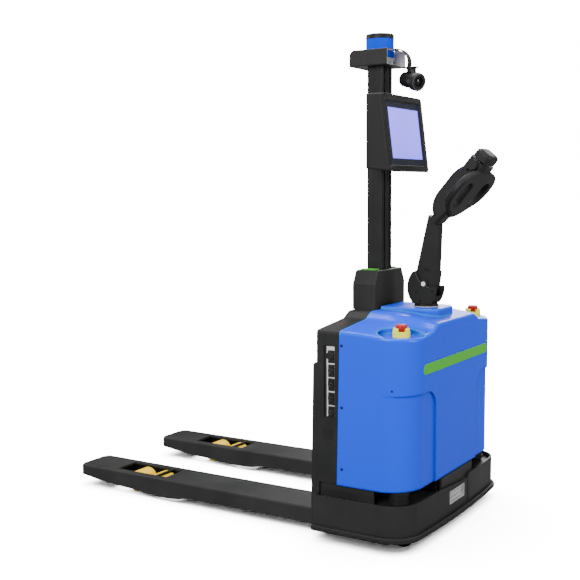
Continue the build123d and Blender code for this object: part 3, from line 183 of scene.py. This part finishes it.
def smooth_cover(name, colour, rough, coat, spec=0.3):
    """Smooth moulded cover with faint orange-peel and handling marks in its gloss."""
    material, tree, principled = shader(name, colour, rough, coat=coat, spec=spec)
    bump(tree, principled, noise(tree, 160.0, 1.0), 0.03)
    cloud = noise(tree, 5.0, 5.0, 0.6)
    gloss = spread(tree, cloud, 0.3, 0.75, rough - 0.05, rough + 0.06)
    tree.links.new(gloss, principled.inputs["Roughness"])
    return material


def round_edges_and_paint_highlight(material, radius, painted_highlight_colour):
    """Rounds a material's edges in its shading, and paints a highlight in a lighter colour along those
    of the truck's top.

    What it throws on to its neighbours is a dull grey, so that black pieces beside it stay black.
    """
    tree = material.node_tree
    principled = tree.nodes["Principled BSDF"]
    bevel = tree.nodes.new("ShaderNodeBevel")
    bevel.samples = BEVEL_SAMPLES
    bevel.inputs["Radius"].default_value = radius
    bump_node = principled.inputs["Normal"].links[0].from_node
    tree.links.new(bevel.outputs["Normal"], bump_node.inputs["Normal"])
    unrounded = tree.nodes.new("ShaderNodeNewGeometry").outputs["Normal"]
    dot = tree.nodes.new("ShaderNodeVectorMath")
    dot.operation = "DOT_PRODUCT"
    tree.links.new(bevel.outputs["Normal"], dot.inputs[0])
    tree.links.new(unrounded, dot.inputs[1])
    edge_highlight_amount = spread(tree, dot.outputs["Value"], 0.998, 0.95, 0.0, 0.6)
    on_top = inside(tree, at(600, 0, 765), (0.5, 0.5, 0.062))
    base = tuple(principled.inputs["Base Color"].default_value)[:3]
    # Painted highlight: the lighter colour is mixed in along the edges of the top
    seen = mix_colour(tree, multiply(tree, edge_highlight_amount, on_top), base, painted_highlight_colour)
    thrown = tree.nodes.new("ShaderNodeMix")
    thrown.data_type = "RGBA"
    thrown.inputs["A"].default_value = BOUNCE_COLOUR
    tree.links.new(seen, thrown.inputs["B"])
    tree.links.new(camera_ray(tree), thrown.inputs["Factor"])
    tree.links.new(thrown.outputs["Result"], principled.inputs["Base Color"])


def brushed_metal(name, colour, rough):
    """Metal with fine streaks along x."""
    material, tree, principled = shader(name, colour, rough, metal=1.0)
    mapping = tree.nodes.new("ShaderNodeMapping")
    mapping.inputs["Scale"].default_value = (4.0, 60.0, 60.0)
    tree.links.new(coords(tree), mapping.inputs["Vector"])
    streaks = noise(tree, 40.0, 3.0, 0.6, mapping.outputs["Vector"])
    brushing = spread(tree, streaks, 0.3, 0.7, rough - 0.08, rough + 0.12)
    tree.links.new(brushing, principled.inputs["Roughness"])
    bump(tree, principled, streaks, 0.06, 0.0003)
    return material


def worn_tyre(name, colour, dirt, rough):
    """Tyre with dirt in patches."""
    material, tree, principled = shader(name, colour, rough)
    patches = spread(tree, noise(tree, 26.0, 6.0, 0.65), 0.42, 0.72, 0.0, 0.55)
    tree.links.new(mix_colour(tree, patches, colour, dirt), principled.inputs["Base Color"])
    bump(tree, principled, noise(tree, 240.0, 3.0), 0.12)
    return material


def lit_lens(name, colour, glow):
    """Coloured lens with a faint light behind it."""
    material, tree, principled = shader(name, colour, 0.40, coat=0.05, spec=0.15)
    principled.inputs["Emission Color"].default_value = (*colour, 1.0)
    principled.inputs["Emission Strength"].default_value = glow
    sheen = spread(tree, noise(tree, 60.0, 2.0), 0.3, 0.7, 0.30, 0.42)
    tree.links.new(sheen, principled.inputs["Roughness"])
    return material


def lit_screen(name, low_colour, high_colour, glow):
    """Display with a picture that changes from one colour at its foot to another at its top."""
    material, tree, principled = shader(name, low_colour, 0.30, spec=0.12)
    separate = tree.nodes.new("ShaderNodeSeparateXYZ")
    tree.links.new(coords(tree), separate.inputs["Vector"])
    slope = spread(tree, separate.outputs["Z"], 1.27, 1.50)
    colour = mix_colour(tree, slope, low_colour, high_colour)
    tree.links.new(colour, principled.inputs["Base Color"])
    tree.links.new(colour, principled.inputs["Emission Color"])
    principled.inputs["Emission Strength"].default_value = glow
    return material


black_paint = textured_paint("black_paint", (0.0115, 0.0117, 0.0118), 0.55)
fork_paint = textured_paint("fork_paint", (0.0195, 0.0195, 0.0197), 0.52, 700.0, 0.3)
black_plastic = textured_paint("black_plastic", (0.0085, 0.0086, 0.0087), 0.56, 1300.0, 0.15)
black_profile = textured_paint("black_profile", (0.0085, 0.0086, 0.009), 0.42, 1500.0, 0.08)
skirt_paint = textured_paint("skirt_paint", (0.0165, 0.0165, 0.0167), 0.46, 800.0, 0.2)
box_paint = textured_paint("box_paint", (0.017, 0.017, 0.017), 0.45, bump_strength=0.15)
bracket_paint = textured_paint("bracket_paint", (0.015, 0.015, 0.015), 0.48, bump_strength=0.15)
rubber = textured_paint("black_rubber", (0.013, 0.013, 0.014), 0.62, 500.0, 0.3)
blue_cover = smooth_cover("blue_cover", (0.0004, 0.064, 0.95), 0.45, 0.30, 0.04)
# The cover's top edges carry a painted highlight in pale blue
round_edges_and_paint_highlight(blue_cover, 0.010, (0.02, 0.40, 1.0))
blue_gloss = smooth_cover("blue_gloss", (0.0002, 0.050, 0.72), 0.50, 0.0, 0.0)
green_lens = lit_lens("green_lens", (0.060, 0.430, 0.025), 0.10)
yellow_plastic = smooth_cover("yellow_plastic", (0.96, 1.0, 0.07), 0.45, 0.0, 0.15)
red_plastic = smooth_cover("red_plastic", (0.420, 0.006, 0.012), 0.32, 0.10)
grey_plastic = textured_paint("grey_plastic", (0.300, 0.302, 0.300), 0.50, bump_strength=0.1)
window_plastic = textured_paint("window_plastic", (0.46, 0.462, 0.46), 0.50, bump_strength=0.05)
strip_plastic = textured_paint("strip_plastic", (0.560, 0.562, 0.555), 0.50, bump_strength=0.1)
# Painted highlight for the edge of the turret's saddle
painted_rim_highlight = textured_paint("painted_rim_highlight", (0.055, 0.055, 0.055), 0.5, bump_strength=0.1)
plug_blue = smooth_cover("plug_blue", (0.002, 0.020, 0.300), 0.45, 0.0, 0.1)
screw_black = textured_paint("screw_black", (0.0015, 0.0015, 0.0015), 0.7, bump_strength=0.1)
white_plastic = smooth_cover("white_plastic", (0.86, 0.86, 0.85), 0.35, 0.05)
steel = brushed_metal("bare_steel", (0.30, 0.30, 0.29), 0.40)
chrome = brushed_metal("chromed_steel", (0.75, 0.75, 0.75), 0.12)
dark_steel = brushed_metal("dark_steel", (0.05, 0.05, 0.055), 0.40)
alloy = textured_paint("cast_alloy", (0.16, 0.163, 0.166), 0.5, 500.0, 0.4)
yellow_wheel = worn_tyre("yellow_wheel", (0.95, 0.60, 0.006), (0.62, 0.38, 0.01), 0.50)
dark_tyre = worn_tyre("drive_rubber", (0.030, 0.029, 0.028), (0.08, 0.075, 0.07), 0.65)
screen_picture = lit_screen("screen_picture", (0.19, 0.155, 1.0), (0.23, 0.20, 1.0), 1.55)
navy_glass = smooth_cover("navy_glass", (0.016, 0.019, 0.034), 0.32, 0.0, 0.25)
lens_glass = smooth_cover("lens_glass", (0.004, 0.005, 0.008), 0.12, 0.2)
ring_metal = textured_paint("ring_metal", (0.055, 0.055, 0.052), 0.45, bump_strength=0.1)

# The inside of the sensor bracket and the foot of its scanner are pale, and the forks' insides are
# painted dark as painted shade
recolour_inside(bracket_paint, at(417, 0, 1651.5), (0.0755, 0.07345, 0.0262), (0.62, 0.62, 0.62))
recolour_inside(blue_gloss, at(MAST_X, 0, 1638), (0.08, 0.09, 0.016), (0.60, 0.60, 0.60))
# Painted shade: the inside of each fork is painted near black
recolour_inside(fork_paint, at(-200, FORK_MIDDLE_Y, 36), (0.60, 0.0795, 0.0405), (0.004, 0.004, 0.004))

LOOKS = {
    "base_frame": skirt_paint, "bumper_strip": rubber, "upright_frame": black_paint,
    "rear_cover": blue_cover, "cover_screws": dark_steel, "light_strip": green_lens,
    "battery_pack": grey_plastic, "hydraulic_unit": alloy, "drive_controller": alloy,
    "panel_sockets": black_plastic, "charge_contacts": window_plastic,
    "mast_base": box_paint, "mast_foot_light": green_lens, "mast_column": black_profile,
    "screen_housing": black_plastic, "screen_glass": screen_picture,
    "lidar_bracket": bracket_paint, "lidar_housing": blue_gloss, "lidar_cap": black_plastic,
    "camera_arm": black_paint, "camera_body": black_profile,
    "fork_carriage": black_paint, "fork_left": fork_paint, "fork_right": fork_paint,
    "lift_cylinders": black_paint, "lift_rods": chrome, "load_arm_pins": fork_paint,
    "slewing_ring": black_paint, "drive_unit": black_paint, "drive_hub": alloy,
    "drive_tyre": dark_tyre, "drive_motor": black_paint,
    "tiller_turret": black_plastic, "tiller_pin": white_plastic, "tiller_arm": black_plastic,
    "tiller_head": black_plastic, "throttle": black_plastic, "belly_button": black_plastic,
    "horn_button": grey_plastic, "lift_rocker": grey_plastic,
    "stop_collars": yellow_plastic, "safety_scanners": black_plastic,
}
PAIRED_LOOKS = {
    "stop_button": red_plastic, "load_arm": black_paint, "bogie": steel, "push_rod": black_paint,
    "rocker": steel, "front_wheel": yellow_wheel, "rear_wheel": yellow_wheel,
    "caster_fork": steel, "caster_wheel": dark_tyre,
}
for tag, side in SIDES:
    LOOKS.update({f"{name}_{tag}": material for name, material in PAIRED_LOOKS.items()})
for name, material in LOOKS.items():
    mesh = nodes[name].data
    mesh.materials.clear()
    mesh.materials.append(material)

# Makers of small pieces, which ride on the truck's bodies

MERGE_DISTANCE = 1e-6
SHARP_ABOVE = math.radians(35.0)


def add_piece(name, vertices, faces, material, body):
    mesh = bpy.data.meshes.new(name)
    mesh.from_pydata([tuple(v) for v in vertices], [], faces)
    work = bmesh.new()
    work.from_mesh(mesh)
    bmesh.ops.remove_doubles(work, verts=work.verts, dist=MERGE_DISTANCE)
    bmesh.ops.recalc_face_normals(work, faces=work.faces)
    work.to_mesh(mesh)
    work.free()
    mesh.materials.append(material)
    for polygon in mesh.polygons:
        polygon.use_smooth = True
    mesh.set_sharp_from_angle(angle=SHARP_ABOVE)
    piece = bpy.data.objects.new(name, mesh)
    bpy.context.scene.collection.objects.link(piece)
    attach(piece, body)


def turned(name, profile, place, direction, material, body, segments=48):
    """Turns an outline of (radius, height) pairs, in millimetres, about an axis through a place."""
    axis = Vector(direction).normalized()
    across = axis.orthogonal().normalized()
    other = axis.cross(across)
    count = len(profile)
    vertices = []
    faces = []
    for i in range(segments):
        angle = 2 * math.pi * i / segments
        out = across * math.cos(angle) + other * math.sin(angle)
        vertices += [place + out * (r / 1000) + axis * (h / 1000) for r, h in profile]
        j = (i + 1) % segments
        for k in range(count - 1):
            faces.append((i * count + k, j * count + k, j * count + k + 1, i * count + k + 1))
    add_piece(name, vertices, faces, material, body)


def plate(name, outline, thickness, origin, x_axis, y_axis, material, body):
    """Raises a flat outline of (x, y) pairs, in millimetres, by its thickness."""
    x_axis = Vector(x_axis)
    y_axis = Vector(y_axis)
    up = x_axis.cross(y_axis).normalized()
    low = [origin + x_axis * (x / 1000) + y_axis * (y / 1000) for x, y in outline]
    high = [v + up * (thickness / 1000) for v in low]
    count = len(outline)
    faces = [tuple(reversed(range(count))), tuple(range(count, 2 * count))]
    faces += [(i, (i + 1) % count, (i + 1) % count + count, i + count) for i in range(count)]
    add_piece(name, low + high, faces, material, body)


def rounded(width, height, radius, steps=6):
    """A rounded rectangle's outline about its centre."""
    points = []
    for cx, cy, start in ((1, 1, 0), (-1, 1, 90), (-1, -1, 180), (1, -1, 270)):
        for i in range(steps + 1):
            angle = math.radians(start + 90 * i / steps)
            points.append((cx * (width / 2 - radius) + radius * math.cos(angle),
                           cy * (height / 2 - radius) + radius * math.sin(angle)))
    return points


def frame_plate(name, rings, origin, x_axis, y_axis, material, body):
    """A frame through a closed chain of rings, each an outline of as many points and its height."""
    x_axis = Vector(x_axis)
    y_axis = Vector(y_axis)
    up = x_axis.cross(y_axis).normalized() / 1000
    vertices = []
    for outline, lift in rings:
        vertices += [origin + x_axis * (x / 1000) + y_axis * (y / 1000) + up * lift for x, y in outline]
    count = len(rings[0][0])
    faces = []
    for a in range(len(rings)):
        b = (a + 1) % len(rings)
        for i in range(count):
            j = (i + 1) % count
            faces.append((a * count + i, a * count + j, b * count + j, b * count + i))
    add_piece(name, vertices, faces, material, body)


# Screen: a dark glass border round the lit picture, and a raised rim round both
SCREEN_TOP_X, SCREEN_TOP_Z = 510.0, 1518.0
SCREEN_FOOT_X, SCREEN_FOOT_Z = 544.0, 1250.0
GLASS_GAP = 0.0001
screen_lean = math.atan2(SCREEN_FOOT_X - SCREEN_TOP_X, SCREEN_TOP_Z - SCREEN_FOOT_Z)
screen_up = Vector((-math.sin(screen_lean), 0, math.cos(screen_lean)))
screen_out = Vector((math.cos(screen_lean), 0, math.sin(screen_lean)))
screen_middle = at((SCREEN_TOP_X + SCREEN_FOOT_X) / 2, 0, (SCREEN_TOP_Z + SCREEN_FOOT_Z) / 2)
border_edge = rounded(278, 222, 8)
picture_edge = rounded(246, 178, 1.0)
frame_plate("screen_border",
            [(border_edge, 0), (border_edge, 0.8), (picture_edge, 0.8), (picture_edge, 0)],
            screen_middle + screen_out * GLASS_GAP, (0, 1, 0), screen_up, navy_glass, "chassis")
frame_plate("screen_rim",
            [(rounded(321, 271, 12), -1), (rounded(322, 272, 12.5), 1.5), (rounded(319, 269, 11), 3.2),
             (rounded(286, 230, 10), 3.6), (rounded(279, 223, 8.5), 1)],
            screen_middle, (0, 1, 0), screen_up, black_plastic, "chassis")

# Camera: hood, front ring, lens and the ribs round its barrel
CAMERA_PAN = math.radians(-25)
CAMERA_TILT = math.radians(-13)
CAMERA_PIVOT_X, CAMERA_PIVOT_Z = 549.0, 1602.0
BARREL_DROP = 33.0
BARREL_RADIUS = 24.6
RIB_RADIUS = 26.6
camera_forward = Vector((math.cos(CAMERA_PAN) * math.cos(CAMERA_TILT),
                         math.sin(CAMERA_PAN) * math.cos(CAMERA_TILT), math.sin(CAMERA_TILT)))
barrel_middle = at(CAMERA_PIVOT_X, 0, CAMERA_PIVOT_Z - BARREL_DROP)
turned("camera_sleeve",
       [(BARREL_RADIUS, 12), (31.0, 15), (32.0, 22), (32.0, 38), (30.6, 41.2), (28.4, 41.6)],
       barrel_middle, camera_forward, black_profile, "camera")
turned("camera_ring",
       [(28.6, 41.2), (28.4, 42.4), (26.6, 42.9), (25.2, 42.4), (BARREL_RADIUS, 36), (19.8, 35)],
       barrel_middle, camera_forward, ring_metal, "camera")
turned("camera_lens", [(0, 39.5), (6, 38.8), (11, 36.6), (14, 34.2), (19.8, 34.2)],
       barrel_middle, camera_forward, lens_glass, "camera")
for i, place in enumerate((-34, -22, -10)):
    turned(f"camera_rib_{i}",
           [(BARREL_RADIUS, place), (RIB_RADIUS, place + 1), (RIB_RADIUS, place + 6),
            (BARREL_RADIUS, place + 7)],
           barrel_middle, camera_forward, black_profile, "camera")

# Socket panel: a pale strip behind black modules with their latches, a dust cap on the top socket, and
# rings in the others
PANEL_FLOOR_Y = -387.0
STRIP_X = (425.0, 456.0)
STRIP_Z = (429.0, 668.0)
STRIP_DEPTH = 0.8
MODULE_X = (430.5, 454.5)
MODULE_DEPTH = 1.2
LATCH_X = (436.0, 449.0)
SOCKET_ZS = (444.0, 491.0, 539.0, 586.0, 634.0)
module_back_y = PANEL_FLOOR_Y - STRIP_DEPTH
module_face_y = module_back_y - MODULE_DEPTH


def side_plate(name, x, z, y, thickness, radius, material):
    """A rounded plate that faces -Y, between two x and two z values, with its back at y."""
    outline = rounded(x[1] - x[0], z[1] - z[0], radius)
    origin = at((x[0] + x[1]) / 2, y, (z[0] + z[1]) / 2)
    plate(name, outline, thickness, origin, (1, 0, 0), (0, 0, 1), material, "chassis")


side_plate("panel_strip", STRIP_X, STRIP_Z, PANEL_FLOOR_Y, STRIP_DEPTH, 1.5, strip_plastic)
for i, z in enumerate(SOCKET_ZS):
    side_plate(f"socket_module_{i}", MODULE_X, (z - 22.5, z + 20.5), module_back_y, MODULE_DEPTH, 1.0,
               black_plastic)
    side_plate(f"socket_latch_{i}", LATCH_X, (z + 14.0, z + 17.5), module_face_y, 1.0, 0.8, dark_steel)
turned("socket_cap", [(14, 0), (14.5, 1.2), (14.0, 3.2), (11.5, 4.4), (4.5, 4.6), (0, 4.4)],
       at(439, module_face_y - 0.2, SOCKET_ZS[-1] + 2), (0, -1, 0), black_plastic, "chassis")
for i, z in enumerate(SOCKET_ZS[:-1]):
    turned(f"socket_ring_{i}", [(5.2, 0), (5.4, 1.6), (6.6, 2.0), (7.6, 1.6), (7.8, 0)],
           at(442, module_face_y, z - 1), (0, -1, 0), ring_metal, "chassis", 24)

# Scanner: the dark collar between its window and its cap
turned("scanner_collar", [(49.8, 0), (50.4, 0.6), (50.4, 9.2), (49.8, 9.6)],
       at(MAST_X, 0, 1720), (0, 0, 1), black_plastic, "chassis", 64)

# A dark sheet across each fork just ahead of its window, painted shade where the floor would show
# through
for tag, side in SIDES:
    plate(f"fork_shade_sheet_{tag}", rounded(156, 50, 1, 2), 4, at(-600, side * FORK_MIDDLE_Y, 58),
          (0, 1, 0), (0, 0, 1), fork_paint, "carriage")

# Cover strips that close the grooves of the mast
MAST_GROOVE_Y = 39.0
GROOVE_COVER_DEPTH = 1.4
for tag, side in SIDES:
    plate(f"groove_cover_{tag}", rounded(7.6, 714, 0.4, 2), GROOVE_COVER_DEPTH,
          at(MAST_X, side * MAST_GROOVE_Y + GROOVE_COVER_DEPTH / 2, 1262), (1, 0, 0), (0, 0, 1),
          black_profile, "chassis")

# Screws on the sides of the tiller's arm and of its turret
ARM_SIDE_Y = 20.0
HUB_SIDE_Y = 27.5
for tag, side in SIDES:
    outward = (0, side, 0)
    for i, (x, z) in enumerate(((616.6, 908.2), (626.2, 905.1))):
        turned(f"arm_screw_{tag}_{i}", [(3.0, -0.4), (3.0, 0.9), (2.2, 1.2), (1.8, 0.5), (0, 0.5)],
               at(x, side * ARM_SIDE_Y, z), outward, screw_black, "tiller", 20)
    # This one passes inside the turret when the tiller tilts, so its head is almost flush
    turned(f"arm_screw_{tag}_2", [(3.0, -0.4), (3.0, 0.15), (2.2, 0.3), (1.8, 0.1), (0, 0.1)],
           at(648.0, side * HUB_SIDE_Y, 851.0), outward, screw_black, "tiller", 20)
    for i, (x, z) in enumerate(((590.9, 825.8), (607, 796), (652, 832))):
        turned(f"turret_screw_{tag}_{i}", [(3.4, -0.4), (3.4, 1.0), (2.8, 1.5), (2.0, 0.6), (0, 0.6)],
               at(x, side * TURRET_SIDE_Y, z), outward, screw_black, "steering", 20)

# Blue plugs in the cover, a red status lamp on the upright, and a pale ring round the turret's foot
# that paints a highlight on its rim
for tag, side in SIDES:
    for name, (x, y, z), (tilt_x, tilt_y, tilt_z) in (
            ("side", (663.7, 381.3, 536.1), (0.39, 0.92, 0)),
            ("top", (715.1, 226.2, 715.4), (0.18, 0.10, 0.98))):
        turned(f"cover_plug_{name}_{tag}", [(4.2, 0), (4.2, 0.4), (3.4, 0.9), (1.2, 0.5), (0, 0.5)],
               at(x, side * y, z), (tilt_x, side * tilt_y, tilt_z), plug_blue, "chassis", 20)
turned("status_lamp", [(3.6, -0.2), (3.6, 0.8), (2.4, 1.6), (0, 1.9)],
       at(429.3, -290, 730.8), (0, -0.1, 0.99), red_plastic, "chassis", 20)
# Painted highlight: a pale ring for the light caught by the rim at the turret's foot
turned("turret_foot_highlight", [(42.8, 0), (46.5, 0), (46.5, 1.4), (42.8, 2.0)],
       at(612, 0, 774.2), (0, 0, 1), window_plastic, "chassis", 64)


def beside_arc(start, middle, end, distance, steps=20):
    """Points outside the arc through three points, at a distance from it."""
    (ax, ay), (bx, by), (cx, cy) = start, middle, end
    scale = 2 * (ax * (by - cy) + bx * (cy - ay) + cx * (ay - by))
    sums = (ax * ax + ay * ay, bx * bx + by * by, cx * cx + cy * cy)
    ox = (sums[0] * (by - cy) + sums[1] * (cy - ay) + sums[2] * (ay - by)) / scale
    oy = (sums[0] * (cx - bx) + sums[1] * (ax - cx) + sums[2] * (bx - ax)) / scale
    radius = math.hypot(ax - ox, ay - oy) + distance
    first = math.atan2(ay - oy, ax - ox)
    whole = math.atan2(cy - oy, cx - ox) - first
    whole = (whole + math.pi) % (2 * math.pi) - math.pi
    angles = [first + whole * i / steps for i in range(steps + 1)]
    return [(ox + radius * math.cos(angle), oy + radius * math.sin(angle)) for angle in angles]


# The rim along the turret's saddle: a lighter strip, a painted highlight along its edge
RIM_DEPTH = 0.7
SADDLE = ((640, 846), (610, 862), (590, 896))
saddle_highlight_strip = beside_arc(*SADDLE, 1.0) + beside_arc(*SADDLE, 3.2)[::-1]
for tag, side in SIDES:
    back_y = side * TURRET_SIDE_Y + (RIM_DEPTH if side > 0 else 0.0)
    plate(f"saddle_highlight_strip_{tag}", saddle_highlight_strip, RIM_DEPTH, at(0, back_y, 0), (1, 0, 0), (0, 0, 1),
          painted_rim_highlight, "steering")

# Floor, light and camera

FLOOR_SIZE = 60.0
FLOOR_SUN = 58.0
BACKDROP_STRENGTH = 16.0
SKY_STRENGTH = 0.09
WHITE = (1.0, 1.0, 1.0, 1.0)


def floor_material():
    """A pale studio floor that throws little of its light back on to the truck."""
    material = bpy.data.materials.new("floor")
    material.use_nodes = True
    tree = material.node_tree
    tree.nodes.remove(tree.nodes["Principled BSDF"])
    seen = tree.nodes.new("ShaderNodeBsdfDiffuse")
    seen.inputs["Color"].default_value = (0.92, 0.92, 0.92, 1.0)
    thrown = tree.nodes.new("ShaderNodeBsdfDiffuse")
    thrown.inputs["Color"].default_value = (0.025, 0.025, 0.025, 1.0)
    mix = tree.nodes.new("ShaderNodeMixShader")
    tree.links.new(camera_ray(tree), mix.inputs["Fac"])
    tree.links.new(thrown.outputs["BSDF"], mix.inputs[1])
    tree.links.new(seen.outputs["BSDF"], mix.inputs[2])
    tree.links.new(mix.outputs["Shader"], tree.nodes["Material Output"].inputs["Surface"])
    return material


bpy.ops.mesh.primitive_plane_add(size=FLOOR_SIZE, location=(0.0, 0.0, 0.0))
floor = bpy.context.object
floor.name = "floor"
floor.data.materials.append(floor_material())

# A white backdrop for the camera, and a dim sky for everything else
world = bpy.data.worlds.new("studio")
world.use_nodes = True
world_tree = world.node_tree
backdrop = world_tree.nodes["Background"]
backdrop.inputs["Color"].default_value = WHITE
backdrop.inputs["Strength"].default_value = BACKDROP_STRENGTH
sky = world_tree.nodes.new("ShaderNodeBackground")
sky.inputs["Color"].default_value = WHITE
sky.inputs["Strength"].default_value = SKY_STRENGTH
sky_mix = world_tree.nodes.new("ShaderNodeMixShader")
world_tree.links.new(camera_ray(world_tree), sky_mix.inputs["Fac"])
world_tree.links.new(sky.outputs["Background"], sky_mix.inputs[1])
world_tree.links.new(backdrop.outputs["Background"], sky_mix.inputs[2])
world_tree.links.new(sky_mix.outputs["Shader"], world_tree.nodes["World Output"].inputs["Surface"])
bpy.context.scene.world = world

# A broad light that only the floor receives, so that it stays near white around a soft shadow
floor_only = bpy.data.collections.new("floor_only")
floor_only.objects.link(floor)
floor_sun_data = bpy.data.lights.new("floor_sun", "SUN")
floor_sun_data.energy = FLOOR_SUN
floor_sun_data.angle = math.radians(100)
floor_sun = bpy.data.objects.new("floor_sun", floor_sun_data)
bpy.context.scene.collection.objects.link(floor_sun)
floor_sun.light_linking.receiver_collection = floor_only


def softbox(name, place, target, size, watts):
    data = bpy.data.lights.new(name, "AREA")
    data.shape = "RECTANGLE"
    data.size = size[0]
    data.size_y = size[1]
    data.energy = watts
    lamp = bpy.data.objects.new(name, data)
    bpy.context.scene.collection.objects.link(lamp)
    lamp.location = place
    direction = Vector(target) - Vector(place)
    lamp.rotation_euler = direction.to_track_quat("-Z", "Y").to_euler()


softbox("key_light", (0.6, -4.4, 2.6), (0.1, 0.0, 0.7), (2.6, 2.6), 275)
softbox("rear_light", (4.6, 0.4, 2.2), (0.2, 0.0, 0.7), (2.0, 2.4), 135)
softbox("top_light", (0.0, 0.2, 4.4), (0.0, 0.0, 0.5), (3.0, 2.0), 225)
softbox("left_light", (-0.4, 4.6, 2.4), (0.0, 0.0, 0.7), (2.6, 2.6), 170)
softbox("front_light", (-4.8, -0.4, 2.2), (0.0, 0.0, 0.7), (2.0, 2.4), 110)

# The camera stands and turns as the one that took the photograph
CAMERA_PLACE = at(2064.98, -3248.79, 1184.47)
CAMERA_TURN = [math.radians(angle) for angle in (84.324, 0.359, 31.904)]
camera_data = bpy.data.cameras.new("camera")
camera_data.sensor_width = 36.0
camera_data.lens = 61.75
camera = bpy.data.objects.new("camera", camera_data)
bpy.context.scene.collection.objects.link(camera)
camera.location = CAMERA_PLACE
camera.rotation_euler = CAMERA_TURN
bpy.context.scene.camera = camera
